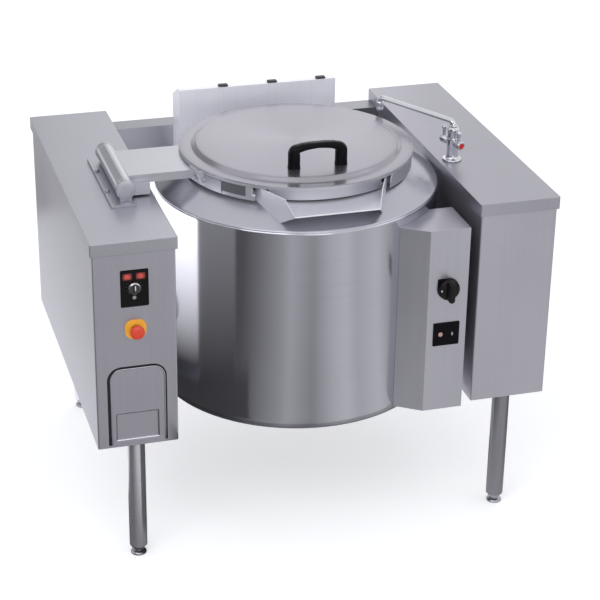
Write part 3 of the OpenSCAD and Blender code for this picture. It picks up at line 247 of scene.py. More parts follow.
def lit_window(name, tone, glow, centres, reach, strength):
    """A dark red window with a soft lamp behind each half: the glow falls off with the
    distance from the nearer centre, the square root of the sum of the squares aside and
    over. centres is (middle x, half the distance, z)."""
    material, tree, shader = finish(name, tone, 0.0, 0.22)
    where = tree.nodes.new("ShaderNodeTexCoord")
    parts = tree.nodes.new("ShaderNodeSeparateXYZ")
    tree.links.new(where.outputs["Object"], parts.inputs["Vector"])
    aside = combined(tree, parts.outputs["X"], centres[0], "SUBTRACT")
    aside = combined(tree, combined(tree, aside, 0.0, "ABSOLUTE"), centres[1], "SUBTRACT")
    over = combined(tree, parts.outputs["Z"], centres[2], "SUBTRACT")
    over = combined(tree, combined(tree, over, 1.25, "MULTIPLY"), 0.0, "ABSOLUTE")
    far = combined(tree, combined(tree, combined(tree, aside, 2.0, "POWER"),
                                  combined(tree, over, 2.0, "POWER")), 0.5, "POWER")
    cells = noise_on(tree, place_of(tree, EVEN), 420.0, 2.0, 0.5)
    fall = combined(tree, combined(tree, far, 1.0 / reach, "MULTIPLY"),
                    combined(tree, cells, 0.25, "MULTIPLY"))
    tree.links.new(shade_between(tree, fall, [
        (0.15, glow), (0.65, scaled(glow, 0.55)), (1.0, scaled(glow, 0.05))]),
        shader.inputs["Emission Color"])
    shader.inputs["Emission Strength"].default_value = strength
    tree.links.new(shade_between(tree, cells, [(0.3, scaled(tone, 0.8)), (0.7, tone)]),
                   shader.inputs["Base Color"])
    return material


# How fast the hair lines change along x, y and z, or along and round a turned piece
UPRIGHT = (260, 260, 2)
ACROSS = (3, 260, 260)
ALONG_Y = (260, 3, 260)
LEVEL = (4, 4, 300)
ROUND = (3, 260, 1)
# Middle of the two displays, half the distance between them, and their height
display_at = (left_x, 0.019, cap_top - 0.112)
FINISHES = {
    "casing_steel": brushed_steel("Casing_steel", (0.465, 0.458, 0.515), UPRIGHT, 0.33),
    "cap_steel": brushed_steel("Cap_steel", (0.440, 0.440, 0.490), ALONG_Y, 0.33),
    "back_steel": brushed_steel("Back_steel", (0.38, 0.38, 0.425), UPRIGHT, 0.38),
    "beam_steel": brushed_steel("Beam_steel", (0.34, 0.34, 0.375), ACROSS, 0.36),
    "panel_steel": brushed_steel("Panel_steel", (0.465, 0.458, 0.515), UPRIGHT, 0.34),
    "leg_steel": turned_steel("Leg_steel", (0.82, 0.81, 0.88), 0.22, 0.80, 0.92, 0.04),
    "foot_steel": plain_metal("Foot_steel", (0.40, 0.40, 0.44), 0.30),
    "hinge_steel": brushed_steel("Hinge_steel", (0.48, 0.48, 0.53), ALONG_Y, 0.32),
    "pin_steel": plain_metal("Pin_steel", (0.45, 0.45, 0.48), 0.25),
    "barrel_steel": brushed_steel("Barrel_steel", (0.47, 0.47, 0.515), ALONG_Y, 0.16, swing=0.03),
    "arm_steel": brushed_steel("Arm_steel", (0.53, 0.53, 0.58), ACROSS, 0.33),
    "lid_steel": turned_steel("Lid_steel", (0.340, 0.335, 0.378), 0.24, 0.80, 0.95, 0.04),
    "skirt_steel": brushed_steel("Skirt_steel", (0.56, 0.56, 0.61), LEVEL, 0.34, metal=0.7),
    "shell_steel": turned_steel("Shell_steel", (0.49, 0.49, 0.55), 0.18, 0.88, 0.96, 0.03, 0.025),
    "shoulder_steel": turned_steel("Shoulder_steel", (0.45, 0.45, 0.505), 0.25, 0.4, 0.68, 0.04),
    "pan_steel": turned_steel("Pan_steel", (0.54, 0.54, 0.59), 0.28, 0.4),
    "spout_steel": brushed_steel("Spout_steel", (0.63, 0.63, 0.685), ALONG_Y, 0.32, metal=0.5),
    # The flue's steel is near white with little metal: a painted sheen that stands for the bright
    # reflection on its front.
    "flue_steel": brushed_steel("Flue_steel_painted_sheen", (0.93, 0.93, 0.98), UPRIGHT, 0.34, metal=0.35),
    "box_steel": brushed_steel("Box_steel", (0.46, 0.455, 0.51), UPRIGHT, 0.32),
    "shaft_steel": plain_metal("Shaft_steel", (0.45, 0.45, 0.49), 0.25),
    "tap_chrome": plain_metal("Tap_chrome", (0.60, 0.60, 0.65), 0.14, 0.03, 30.0, 0.03),
    "frame_paint": moulded("Frame_paint", (0.20, 0.21, 0.23), 0.5),
    "bearing_iron": moulded("Bearing_iron", (0.10, 0.11, 0.13), 0.5, 0.25, 90.0),
    "gearbox_iron": moulded("Gearbox_iron", (0.09, 0.10, 0.13), 0.45, 0.25, 90.0, 0.2),
    "burner_iron": moulded("Burner_iron", (0.05, 0.048, 0.045), 0.7, 0.4, 120.0),
    "motor_paint": moulded("Motor_paint", (0.05, 0.07, 0.11), 0.4, 0.2, 120.0, 0.2),
    "wheel_bronze": plain_metal("Wheel_bronze", (0.55, 0.36, 0.16), 0.35),
    "valve_brass": plain_metal("Valve_brass", (0.62, 0.46, 0.20), 0.3),
    "board_green": moulded("Board_green", (0.02, 0.12, 0.05), 0.4, 0.2, 300.0),
    "lagging_wool": moulded("Lagging_wool", (0.55, 0.46, 0.26), 0.95, 0.25, 60.0, 0.0, 0.6),
    "seal_rubber": moulded("Seal_rubber", (0.16, 0.16, 0.17), 0.6),
    "handle_black": moulded("Handle_black", (0.003, 0.003, 0.004), 0.22, 0.2, 200.0, 0.04,
                            gloss=0.10),
    "cowl_black": moulded("Cowl_black", (0.03, 0.03, 0.035), 0.5),
    "control_black": moulded("Control_black", (0.006, 0.005, 0.005), 0.3, 0.2, 200.0, 0.03,
                             gloss=0.15),
    "box_black": moulded("Box_black", (0.004, 0.003, 0.004), 0.32, 0.2, 200.0, 0.02, gloss=0.06),
    "switch_black": moulded("Switch_black", (0.008, 0.006, 0.006), 0.30, 0.2, 200.0, 0.05,
                            gloss=0.15),
    "knob_grey": moulded("Knob_grey", (0.045, 0.042, 0.042), 0.42, gloss=0.3),
    "stop_yellow": moulded("Stop_yellow", (0.76, 0.36, 0.03), 0.45, gloss=0.3),
    "stop_red": moulded("Stop_red", (0.62, 0.042, 0.012), 0.34, 0.1, 200.0, 0.12),
    "lamp_clear": glowing("Lamp_clear", (0.42, 0.25, 0.24), (0.50, 0.26, 0.25), 0.12),
    "display_red": lit_window("Display_red", (0.10, 0.008, 0.008), (0.55, 0.085, 0.075),
                              display_at, 0.0155, 0.85),
}
# Finishes that differ from their slot's own
digit_glow = glowing("Digit_glow", (0.45, 0.06, 0.05), (0.75, 0.16, 0.13), 0.55)
pointer_white = moulded("Pointer_white", (0.62, 0.62, 0.63), 0.45, 0.05)
lamp_white = glowing("Lamp_white", (0.34, 0.33, 0.35), (0.40, 0.40, 0.44), 0.10)
lamp_grey = moulded("Lamp_grey", (0.26, 0.25, 0.25), 0.35, 0.08)
ring_silver = plain_metal("Ring_silver", (0.50, 0.50, 0.53), 0.3)
dot_red = moulded("Dot_red", (0.55, 0.015, 0.02), 0.35, 0.1)
dot_blue = moulded("Dot_blue", (0.03, 0.08, 0.42), 0.35, 0.1)
screw_steel = plain_metal("Screw_steel", (0.42, 0.42, 0.46), 0.28)
# Dark sheet for the openings under the louvres: painted shade.
louvre_shade_dark = moulded("Louvre_shade_dark", (0.02, 0.02, 0.022), 0.7)
# Dark sheet round the service panel's recess: painted shadow.
panel_shadow_dark = moulded("Panel_shadow_dark", (0.018, 0.017, 0.022), 0.6, gloss=0.2)
# Dark steel for a patch on the skirt beside the spout: painted shade.
skirt_shade_steel = brushed_steel("Skirt_shade_steel", (0.13, 0.13, 0.15), LEVEL, 0.45, metal=0.5)
frame_light = brushed_steel("Frame_light", (0.66, 0.66, 0.71), LEVEL, 0.25, metal=0.5)
# Dark strips at the edges of the service panel's pressed field: painted shade.
panel_shade_strip_dark = moulded("Panel_shade_strip_dark", (0.06, 0.058, 0.068), 0.6, gloss=0.2)
# Light steel for edges that catch the light: a painted highlight on the spout's lip, the service
# panel's fold and the display's lip.
painted_highlight_steel = brushed_steel("Painted_highlight_steel", (0.80, 0.80, 0.85), ACROSS, 0.22, metal=0.5)
# A darker copy of the cap's steel for the right cap: painted shade.
right_cap_shaded_steel = brushed_steel("Right_cap_shaded_steel", (0.395, 0.390, 0.440), ALONG_Y, 0.33)
# A dark copy of the legs' steel for the right legs: painted shade, against the lit copy that the
# other legs take.
right_leg_shaded_steel = turned_steel("Right_leg_steel", (0.26, 0.255, 0.285), 0.22, 0.80, 0.92, 0.04)
# A darker copy of the wall's steel for the kettle's bottom edge: painted shade.
foot_shade_steel = turned_steel("Foot_edge", (0.20, 0.20, 0.225), 0.4, metal=0.8)
weld_grey = plain_metal("Weld_grey", (0.36, 0.36, 0.39), 0.4, 0.12, 400.0, 0.4)


# --- Surfaces -------------------------------------------------------------------------


def grid_piece(name, points, body, slot, material=None, wrap=(False, False), replaces=(),
               sharp=32.0, keep=None, thickness=0.0):
    """A sheet of quads through points, an array of rows by columns by 3. wrap joins the last
    row or column to the first. keep is a mask of the cells that stay. Equal points merge, so
    a row that is one point closes as a pole. The faces are turned outwards. A thickness
    gives an open sheet its wall, grown inwards. The UV map holds the mean distance along
    each direction in metres, so that a grain has one scale on every piece."""
    rows, columns = points.shape[:2]
    across = np.linalg.norm(np.roll(points, -1, 1) - points, axis=2).mean(0)
    along = np.linalg.norm(np.roll(points, -1, 0) - points, axis=2).mean(1)
    u_at = np.concatenate([[0], np.cumsum(across)])
    v_at = np.concatenate([[0], np.cumsum(along)])
    i, j = np.meshgrid(np.arange(rows if wrap[0] else rows - 1),
                       np.arange(columns if wrap[1] else columns - 1), indexing="ij")
    if keep is not None:
        i, j = i[keep], j[keep]
    i, j = i.ravel(), j.ravel()
    i2, j2 = (i + 1) % rows, (j + 1) % columns
    faces = np.stack([i * columns + j, i2 * columns + j, i2 * columns + j2, i * columns + j2], 1)
    u = u_at[np.stack([j, j, j + 1, j + 1], 1)]
    v = v_at[np.stack([i, i + 1, i + 1, i], 1)]
    mesh = bpy.data.meshes.new(name)
    mesh.from_pydata(points.reshape(-1, 3).tolist(), [], faces.tolist())
    mesh.uv_layers.new(name="Grain").data.foreach_set("uv", np.stack([u, v], 2).ravel())
    work = bmesh.new()
    work.from_mesh(mesh)
    bmesh.ops.remove_doubles(work, verts=work.verts, dist=2e-6)
    bmesh.ops.dissolve_degenerate(work, edges=work.edges, dist=1e-7)
    bmesh.ops.delete(work, geom=[v for v in work.verts if not v.link_faces], context="VERTS")
    bmesh.ops.recalc_face_normals(work, faces=work.faces)
    work.to_mesh(mesh)
    work.free()
    mesh.polygons.foreach_set("use_smooth", np.ones(len(mesh.polygons), bool))
    mesh.set_sharp_from_angle(angle=math.radians(sharp))
    piece = bpy.data.objects.new(name, mesh)
    bpy.context.scene.collection.objects.link(piece)
    mesh.materials.append(material or FINISHES[slot])
    if thickness:
        wall = piece.modifiers.new("Wall", "SOLIDIFY")
        wall.thickness = thickness
        wall.offset = -1
    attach(piece, body)
    if replaces:
        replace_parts(piece, *replaces)
    return piece


def rounded(node, width, body, slot, material=None):
    """A merged copy of a CAD node with every sharp edge rounded by a small bevel."""
    sharp = math.radians(30.0)
    mesh = NODES[node].data.copy()
    work = bmesh.new()
    work.from_mesh(mesh)
    bmesh.ops.remove_doubles(work, verts=work.verts, dist=1e-6)
    bmesh.ops.dissolve_limit(work, angle_limit=math.radians(0.6), verts=work.verts,
                             edges=work.edges)
    clean = bpy.data.meshes.new(node + "_dressed")
    work.to_mesh(clean)
    work.free()
    bpy.data.meshes.remove(mesh)
    clean.materials.clear()
    clean.materials.append(material or FINISHES[slot])
    clean.polygons.foreach_set("use_smooth", np.ones(len(clean.polygons), bool))
    clean.set_sharp_from_angle(angle=sharp)
    piece = bpy.data.objects.new(node + "_dressed", clean)
    bpy.context.scene.collection.objects.link(piece)
    edge = piece.modifiers.new("Edge", "BEVEL")
    edge.width = width
    edge.segments = 2
    edge.limit_method = "ANGLE"
    edge.angle_limit = sharp
    edge.harden_normals = True
    edge.use_clamp_overlap = True
    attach(piece, body)
    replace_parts(piece, node)
    return piece


def rounded_profile(corners, radius, steps):
    """Corner points of a profile with each inner corner replaced by a curve: the two points
    at a distance radius from the corner, joined by a quadratic curve that bends at it."""
    corners = np.asarray(corners, float)
    radii = np.broadcast_to(np.asarray(radius, float), len(corners))
    before, at, after = corners[:-2], corners[1:-1], corners[2:]
    back, on = before - at, after - at
    back_l = np.linalg.norm(back, axis=1, keepdims=True)
    on_l = np.linalg.norm(on, axis=1, keepdims=True)
    reach = np.minimum(radii[1:-1, None], 0.49 * np.minimum(back_l, on_l))
    start, end = at + back / back_l * reach, at + on / on_l * reach
    t = np.linspace(0, 1, steps)[None, :, None]
    bends = (1 - t) ** 2 * start[:, None] + 2 * t * (1 - t) * at[:, None] + t ** 2 * end[:, None]
    return np.concatenate([corners[:1], bends.reshape(-1, 2), corners[-1:]])


def arc(centre, radius, turn):
    """Points of a circle about a centre at the angles of turn: radius times their cosine and
    sine, added to the centre."""
    return np.column_stack([centre[0] + radius * np.cos(turn), centre[1] + radius * np.sin(turn)])


def turned(name, profile, at, body, slot, axis="z", around=160, replaces=(), material=None,
           sharp=32.0, ripple=None):
    """A turned piece: a profile of (radius, distance along the axis) carried round the axis
    through at, its radius times the cosine and the sine of the angle. The axis is a letter,
    z or y, or a direction. ripple adds to the radius as a function of the angle and the
    profile."""
    profile = np.asarray(profile, float)
    angle = np.linspace(0, TAU, around, endpoint=False)
    radius = profile[:, 0][:, None] + np.zeros(around)[None, :]
    if ripple is not None:
        radius = radius + ripple(angle[None, :], profile)
    along = profile[:, 1][:, None] + 0 * radius
    across, up = radius * np.cos(angle), radius * np.sin(angle)
    if isinstance(axis, str):
        points = np.stack((across, up, along) if axis == "z" else (across, along, up), 2)
    else:
        out, side, over = frame_along(axis)
        points = across[..., None] * side + up[..., None] * over + along[..., None] * out
    points = points + np.asarray(at, float)
    return grid_piece(name, points, body, slot, material, (False, True), replaces, sharp)


def frame_along(direction):
    """A direction made one long, and two more that stand square to it and to each other,
    the last of them as upright as it can be."""
    out = np.asarray(direction, float)
    out = out / np.linalg.norm(out)
    side = np.cross(out, [0, 0, 1]) if abs(out[2]) < 0.9 else np.array([1.0, 0, 0])
    side = side / np.linalg.norm(side)
    return out, side, np.cross(side, out)


def framed_path(path):
    """Directions along a path and two directions across it that turn as little as possible:
    the tangent is the central difference, and the first cross direction is a fixed vector
    with its part along the tangent taken off."""
    path = np.asarray(path, float)
    tangent = np.gradient(path, axis=0)
    tangent /= np.linalg.norm(tangent, axis=1, keepdims=True)
    spread = np.abs(tangent).mean(0)
    fixed = np.eye(3)[np.argmin(spread)]
    side = fixed - tangent * (tangent @ fixed)[:, None]
    side /= np.linalg.norm(side, axis=1, keepdims=True)
    return path, side, np.cross(tangent, side)


def carried(name, path, outline, body, slot, material=None):
    """A closed outline of (across, over) points carried along a path, closed at both ends by
    a row that is one point."""
    path, side, over = framed_path(path)
    outline = np.asarray(outline, float)
    ring = side[:, None] * outline[None, :, :1] + over[:, None] * outline[None, :, 1:]
    ends = [np.repeat(path[k][None, None], len(outline), 1) for k in (0, -1)]
    points = np.concatenate([ends[0], path[:, None] + ring, ends[1]])
    return grid_piece(name, points, body, slot, material, (False, True))


def circle_outline(radius, steps):
    """A circle's outline: its radius times the cosine and the sine of the angle."""
    angle = np.linspace(0, TAU, steps, endpoint=False)
    return np.stack([np.cos(angle), np.sin(angle)], 1) * radius


def plate_outline(width, height, radius, steps=6):
    """A rectangle with round corners: four quarter circles, one about each inner corner."""
    turn = np.linspace(0, math.pi / 2, steps)
    quarter = np.stack([np.cos(turn), np.sin(turn)], 1) * radius
    parts = []
    for k, (sx, sy) in enumerate([(1, 1), (-1, 1), (-1, -1), (1, -1)]):
        spin = np.array([[math.cos(k * math.pi / 2), math.sin(k * math.pi / 2)],
                         [-math.sin(k * math.pi / 2), math.cos(k * math.pi / 2)]])
        parts.append(quarter @ spin + [sx * (width / 2 - radius), sy * (height / 2 - radius)])
    return np.concatenate(parts)


def raised_plate(name, outline, rise, edge, place, body, slot, material=None):
    """A plate with rounded edges: its outline at the back, the same outline at the edge's
    start, then shrunk by edge at full rise, closed front and back at the centre. place turns
    (across, up, out) into a point."""
    outline = np.asarray(outline, float)
    size = np.abs(outline).max(0)
    rings = [(outline * 0, 0), (outline, 0)]
    for t in np.linspace(0, math.pi / 2, 4):
        shrink = 1 - edge * (1 - math.cos(t)) / size
        rings.append((outline * shrink, rise - edge + edge * math.sin(t)))
    rings.append((outline * 0, rise))
    points = np.stack([np.column_stack([r, np.full(len(r), h)]) for r, h in rings])
    return grid_piece(name, place(points), body, slot, material, (False, True))


def facing_front(centre):
    """Lays (across, up, out) on a face that looks to the front, out towards the viewer."""
    centre = np.asarray(centre, float)
    return lambda p: np.stack([centre[0] + p[..., 0], centre[1] - p[..., 2],
                               centre[2] + p[..., 1]], -1)


def facing_back(centre):
    """Lays (across, up, out) on a face that looks to the back."""
    centre = np.asarray(centre, float)
    return lambda p: np.stack([centre[0] - p[..., 0], centre[1] + p[..., 2],
                               centre[2] + p[..., 1]], -1)


def joined(name, pieces):
    """Several pieces of one finish and one body, joined into one mesh."""
    first = pieces[0]
    with bpy.context.temp_override(active_object=first, object=first, selected_objects=pieces,
                                   selected_editable_objects=pieces):
        bpy.ops.object.join()
    first.name = name
    return first


def hexagon(across):
    """A hexagon's outline by angle: its flat's distance over the cosine of the angle to the
    middle of the flat."""
    angle = np.linspace(0, TAU, 60, endpoint=False)
    r = across / 2 / np.cos((angle % (TAU / 6)) - TAU / 12)
    return np.stack([r * np.cos(angle), r * np.sin(angle)], 1)


def hex_head(name, across, rise, place, body, slot, material=None, bore=0.0):
    """A hexagon nut or bolt head: its outline with the corners turned down at the outer end
    to a circle just wider than the flats, closed at the centre or open round a bore."""
    outline = hexagon(across)
    r = np.linalg.norm(outline, axis=1, keepdims=True)
    full = r.max()
    inner = outline / r * bore
    rings = [(inner, 0.0)] + [
        (outline * np.minimum(1, reach / r), height)
        for reach, height in ((full, 0.0), (full, 0.72 * rise), (0.54 * across, 0.90 * rise),
                              (0.49 * across, rise))] + [(inner, rise)]
    points = np.stack([np.column_stack([ring, np.full(len(r), h)]) for ring, h in rings])
    return grid_piece(name, place(points), body, slot, material, (bore > 0, True))


def screw(place, body):
    """A dome-headed screw: a low arc of a circle carried round its middle, on a short rim."""
    r, rise, around = 0.0045, 0.0022, 24
    ring = circle_outline(1, around)
    rings = [np.column_stack([ring * r * k, np.full(around, h * rise)])
             for k, h in ((0, 0), (1, 0), (1, 0.35), (0.86, 0.72), (0.55, 0.94), (0, 1))]
    return grid_piece("Screw", place(np.stack(rings)), body, "back_steel", screw_steel,
                      (False, True))


# --- Kettle ---------------------------------------------------------------------------


SHEET = 0.002
# The kettle from below: bend into the wall, rounded edge, cone, fillet and neck
FOOT_BEND = 0.009
SHOULDER_EDGE = 0.007
BEND_Z = cap_top - 0.033 - SHOULDER_EDGE / 2
CONE_RISE = 0.045
FILLET = 0.012
NECK_R = 0.328
# The spout: half its mouth's width at the neck, its lip's height, its floor's slope and sheet
MOUTH_HALF = 0.204
LIP_Z = cap_top + 0.021
FLOOR_SLOPE = math.radians(3.5)
FLOOR_SHEET = 0.0032


def round_kettle(radius, angle, height):
    """Points at a radius and an angle about the kettle's axis, at a height."""
    return np.stack(np.broadcast_arrays(kettle_at[0] + radius * np.cos(angle),
                                        kettle_at[1] + radius * np.sin(angle), height), 2)


def kettle_wall():
    """The kettle's wall: a straight upright line carried round the kettle's axis, from the
    bottom's edge to the start of the shoulder's bend. Cells inside the gas outlet at the
    back are left out, and the sheet gets its wall."""
    bottom = low("kettle_bottom")[2] + FOOT_BEND
    outlet_w, outlet_h = 0.300, 0.024
    outlet_low = low("flue_box")[2] + 0.006
    outlet_top = outlet_low + outlet_h
    below, beside, over = 24, 3, 40
    half_turn = math.asin(outlet_w / 2 / kettle_r)
    start, end = math.pi / 2 - half_turn, math.pi / 2 + half_turn
    angle = np.concatenate([np.linspace(start, end, over, endpoint=False),
                            np.linspace(end, start + TAU, 320, endpoint=False)])
    height = np.concatenate([np.linspace(bottom, outlet_low, below, endpoint=False),
                             np.linspace(outlet_low, outlet_top, beside, endpoint=False),
                             np.linspace(outlet_top, BEND_Z, 8)])
    keep = np.ones((len(height) - 1, len(angle)), bool)
    keep[below:below + beside, :over] = False
    grid_piece("Kettle_wall", round_kettle(kettle_r, angle[None], height[:, None]), "kettle",
               "shell_steel", wrap=(False, True), replaces=("kettle_shell",), keep=keep,
               thickness=SHEET)


def kettle_foot():
    """The kettle's bottom: a flat disc, a quarter round and a short upright edge, then the same
    line back inside the sheet. It wears a darker copy of the wall's steel: painted shade along the
    bottom edge."""
    low_z, r = low("kettle_bottom")[2], kettle_r
    top_z = low_z + FOOT_BEND + 0.0004
    centre = (r - FOOT_BEND, low_z + FOOT_BEND)
    turn = np.linspace(-math.pi / 2, 0, 12)
    profile = np.concatenate([
        [[r * s, low_z] for s in (0, 0.3, 0.6, 0.9)], arc(centre, FOOT_BEND, turn),
        [[r - 0.0004, top_z], [r - SHEET, top_z]], arc(centre, FOOT_BEND - SHEET, turn[::-1]),
        [[0, low_z + SHEET]]])
    turned("Kettle_foot", profile, (*kettle_at, 0), "kettle", "shell_steel", around=256,
           replaces=("kettle_bottom",), material=foot_shade_steel)


def mouth_cut(angle):
    """Height of the underside of the spout's floor where the neck stands at an angle, and
    whether that angle lies inside the spout's mouth. The floor rises from the lip with the
    tangent of its slope."""
    y = NECK_R * np.sin(angle)
    floor = LIP_Z - FLOOR_SHEET / math.cos(FLOOR_SLOPE) + (y + kettle_r) * math.tan(FLOOR_SLOPE)
    return floor, (np.abs(NECK_R * np.cos(angle)) < MOUTH_HALF) & (y < 0)


def mouth_angles(count):
    """Angles round the neck, with a close pair at each side of the spout's mouth."""
    edge, close = math.acos(MOUTH_HALF / NECK_R), 1e-4
    left, right = math.pi + edge, TAU - edge
    return np.sort(np.concatenate([np.linspace(0, TAU, count, endpoint=False), [
        left - close, left + close, right - close, right + close]]))


def kettle_shoulder():
    """Rounded edge, cone, fillet and neck in one sheet: a profile carried round the axis,
    whose last row drops to the spout's floor between the spout's walls. Its first row is
    tucked behind the wall's upper edge."""
    top, r, edge = high("kettle_top")[2], kettle_r, SHOULDER_EDGE
    lean = math.atan(CONE_RISE / (r - NECK_R - FILLET))
    start = arc((r - edge, BEND_Z), edge, np.linspace(0, math.pi / 2 - lean, 10))
    cone_low = start[-1]
    high_r = NECK_R + FILLET - FILLET * math.sin(lean)
    cone_high = np.array([high_r, cone_low[1] + (cone_low[0] - high_r) * math.tan(lean)])
    cone = cone_low + (cone_high - cone_low) * np.linspace(0, 1, 9)[1:-1, None]
    fillet_z = cone_high[1] + FILLET * math.cos(lean)
    fillet = arc((NECK_R + FILLET, fillet_z), FILLET,
                 np.linspace(-math.pi / 2 - lean, -math.pi, 8))
    profile = np.concatenate([[[r - 0.0006, BEND_Z - 0.002]], start, cone, fillet])
    neck_rows = np.linspace(0, 1, 6)[1:]
    angle = mouth_angles(360)
    floor, inside = mouth_cut(angle)
    last = np.where(inside, np.minimum(floor, top), top)
    heights = np.concatenate([np.repeat(profile[:, 1:], len(angle), 1),
                              fillet_z + (last[None] - fillet_z) * neck_rows[:, None]])
    radii = np.concatenate([profile[:, 0], np.full(len(neck_rows), NECK_R)])
    grid_piece("Kettle_shoulder", round_kettle(radii[:, None], angle[None], heights), "kettle",
               "shoulder_steel", wrap=(False, True), replaces=("kettle_top",), thickness=SHEET,
               sharp=40)


def pan_inside():
    """The pan's upright wall, seen from inside the kettle: a straight line carried round the
    axis, cut down to the spout's floor between the spout's walls."""
    seam, rim = low("kettle_pan")[2], high("kettle_pan")[2]
    angle = mouth_angles(300)
    floor, inside = mouth_cut(angle)
    top = np.where(inside, np.minimum(floor + 0.0002, rim), rim)
    heights = seam + (top[None] - seam) * np.linspace(0, 1, 24)[:, None]
    grid_piece("Pan_wall", round_kettle(half_width("pan_bottom"), angle[None], heights), "kettle",
               "pan_steel", wrap=(False, True), replaces=("kettle_pan",), thickness=0.003)


def pan_floor():
    """The pan's dished bottom: a shallow dish, lowest in the middle, that rises with the
    square of the way out, and a corner radius; then the same line back under it."""
    r, t, dish_h, corner_r = half_width("pan_bottom"), 0.003, 0.024, 0.012
    bottom, top = low("pan_bottom")[2], high("pan_bottom")[2]
    s = np.linspace(0, 1, 30)
    inner_r = r - t
    edge_z = bottom + t + dish_h
    dish = np.column_stack([inner_r * 0.955 * s, edge_z - dish_h * (1 - s ** 2)])
    corner = arc((inner_r - corner_r, edge_z + corner_r), corner_r,
                 np.linspace(-math.pi / 2, 0, 8)[1:])
    inside = np.concatenate([dish, corner, [[inner_r, top]]])
    back = inside[::-1]
    outside = back + np.column_stack([np.where(back[:, 0] > inner_r * 0.97, t, 0),
                                      np.where(back[:, 0] > inner_r * 0.985, 0, -t)])
    outside[-1, 0] = 0
    outside[0] = [r, top]
    turned("Pan_floor", np.concatenate([inside, outside]), (*kettle_at, 0), "kettle", "pan_steel",
           around=256, replaces=("pan_bottom",))


kettle_wall()
kettle_foot()
kettle_shoulder()
pan_inside()
pan_floor()


# --- Lid ------------------------------------------------------------------------------


def lid_sheet():
    """The lid: a rolled rim, a flat ring, a soft step up, 3 s^2 - 2 s^3 of the way along, and
    a middle that falls from the centre with the way out to the power 2.4; then the same line
    back one sheet lower."""
    rim, top = lid_rim_z, high("lid_disc")[2]
    r, t, step_r, step_w = lid_r, SHEET, lid_r - 0.036, 0.016
    raised = top - 0.004
    roll = arc((r - t, rim), t, np.linspace(-math.pi / 2, math.pi / 2, 12))
    s = np.linspace(0, 1, 12)
    step = np.column_stack([step_r - step_w * s,
                            rim + t + (raised - rim - t) * (3 * s ** 2 - 2 * s ** 3)])
    c = np.linspace(1, 0, 26)[1:]
    dome = np.column_stack([(step_r - step_w) * c, top - (top - raised) * c ** 2.4])
    ring = [[step_r + 0.018, rim + t], [step_r + 0.004, rim + t]]
    outer = np.concatenate([roll, ring, step, dome])
    under = outer[len(roll):][::-1] - [0, t]
    under[:, 1] = np.maximum(under[:, 1], rim - t * 0.4)
    under[0, 0] = 0
    turned("Lid_sheet", np.concatenate([outer, under, [[r - t, rim - t]]]), (*kettle_at, 0), "lid",
           "lid_steel", around=320, replaces=("lid_disc",), sharp=40)


def bow_handle():
    """The handle in one sweep: a path up one post, round a corner, over a shallow arc and
    down the other post. Its section is a rounded rectangle, |x|^n + |y|^n = 1 with n 3,
    thick in the posts and thin in the bow, and it flares at the foot."""
    centre, foot, top = mid("lid_handle"), low("lid_handle")[2], high("lid_handle")[2]
    half, bow_half, sag = 0.0715, 0.045, 0.0085
    bow, post, deep, around = 0.0086, 0.0172, 0.0148, 48
    x = np.linspace(-bow_half, bow_half, 31)
    over_arc = np.column_stack([x, top - bow - sag * (x / half) ** 2])
    corners = [(-half, foot), (-half, foot + 0.018), (-half, top - bow - 0.0105)]
    left = rounded_profile(corners + [tuple(over_arc[0])], (0, 0.004, 0.0145, 0), 14)
    path = np.concatenate([left[:-1], over_arc, left[:-1][::-1] * [-1, 1]])
    step = np.gradient(path, axis=0)
    step /= np.linalg.norm(step, axis=1, keepdims=True)
    over = np.column_stack([-step[:, 1], step[:, 0]])
    upright = np.clip(np.abs(step[:, 1]), 0, 1) ** 0.8
    height = (path[:, 1] - foot) / (top - foot)
    flare = 0.0012 * np.clip(1 - height / 0.12, 0, 1) ** 2
    thickness = bow + (post - bow) * upright + flare
    depth = deep + 0.0010 * upright + flare
    angle = np.linspace(0, TAU, around, endpoint=False)
    c, d = np.cos(angle), np.sin(angle)
    one, two = (np.sign(v) * np.abs(v) ** (2 / 3) for v in (c, d))
    in_plane = path[:, None] + over[:, None] * (thickness[:, None] * one[None])[..., None]
    points = np.stack([centre[0] + in_plane[..., 0], centre[1] + depth[:, None] * two[None],
                       in_plane[..., 1]], 2)
    points[..., 2] = np.clip(points[..., 2], foot, top)
    ends = [np.broadcast_to([centre[0] + sx * half, centre[1], foot], (1, around, 3))
            for sx in (-1, 1)]
    grid_piece("Bow_handle", np.concatenate([ends[0], points, ends[1]]), "lid", "handle_black",
               wrap=(False, True), replaces=("lid_handle",), sharp=50)


lid_sheet()
bow_handle()
rounded("lid_skirt", 0.0006, "lid", "skirt_steel")
rounded("lid_arm", 0.0012, "lid", "arm_steel")


def skirt_patch(name, span, z_span, rise, material, edge):
    """A shallow plate bent round the lid's skirt between two angles and two heights. It
    stands rise proud of the skirt, slopes down to it over edge above and below, and drops
    almost square to it at both sides."""
    skirt_r, tuck, across = lid_r - 0.0040, 0.0030, 24
    r = skirt_r + rise
    degrees = span[1] - span[0]
    steep = edge / (degrees * r)
    u = np.concatenate([[0, 0], np.linspace(steep, 1 - steep, across), [1, 1]])
    angle = np.radians(span[0]) + u * math.radians(degrees)
    z = np.array([z_span[0], z_span[0], z_span[0] + edge, z_span[1] - edge, z_span[1], z_span[1]])
    rise_u = np.array([0, 0.4] + [1] * across + [0.4, 0])
    rise_z = np.array([0, 0.4, 1, 1, 0.4, 0])
    out = r - tuck + (rise + tuck) * np.minimum(rise_u[None], rise_z[:, None])
    grid_piece(name, round_kettle(out, angle[None], z[:, None]), "lid", "skirt_steel", material,
               thickness=0.0006)


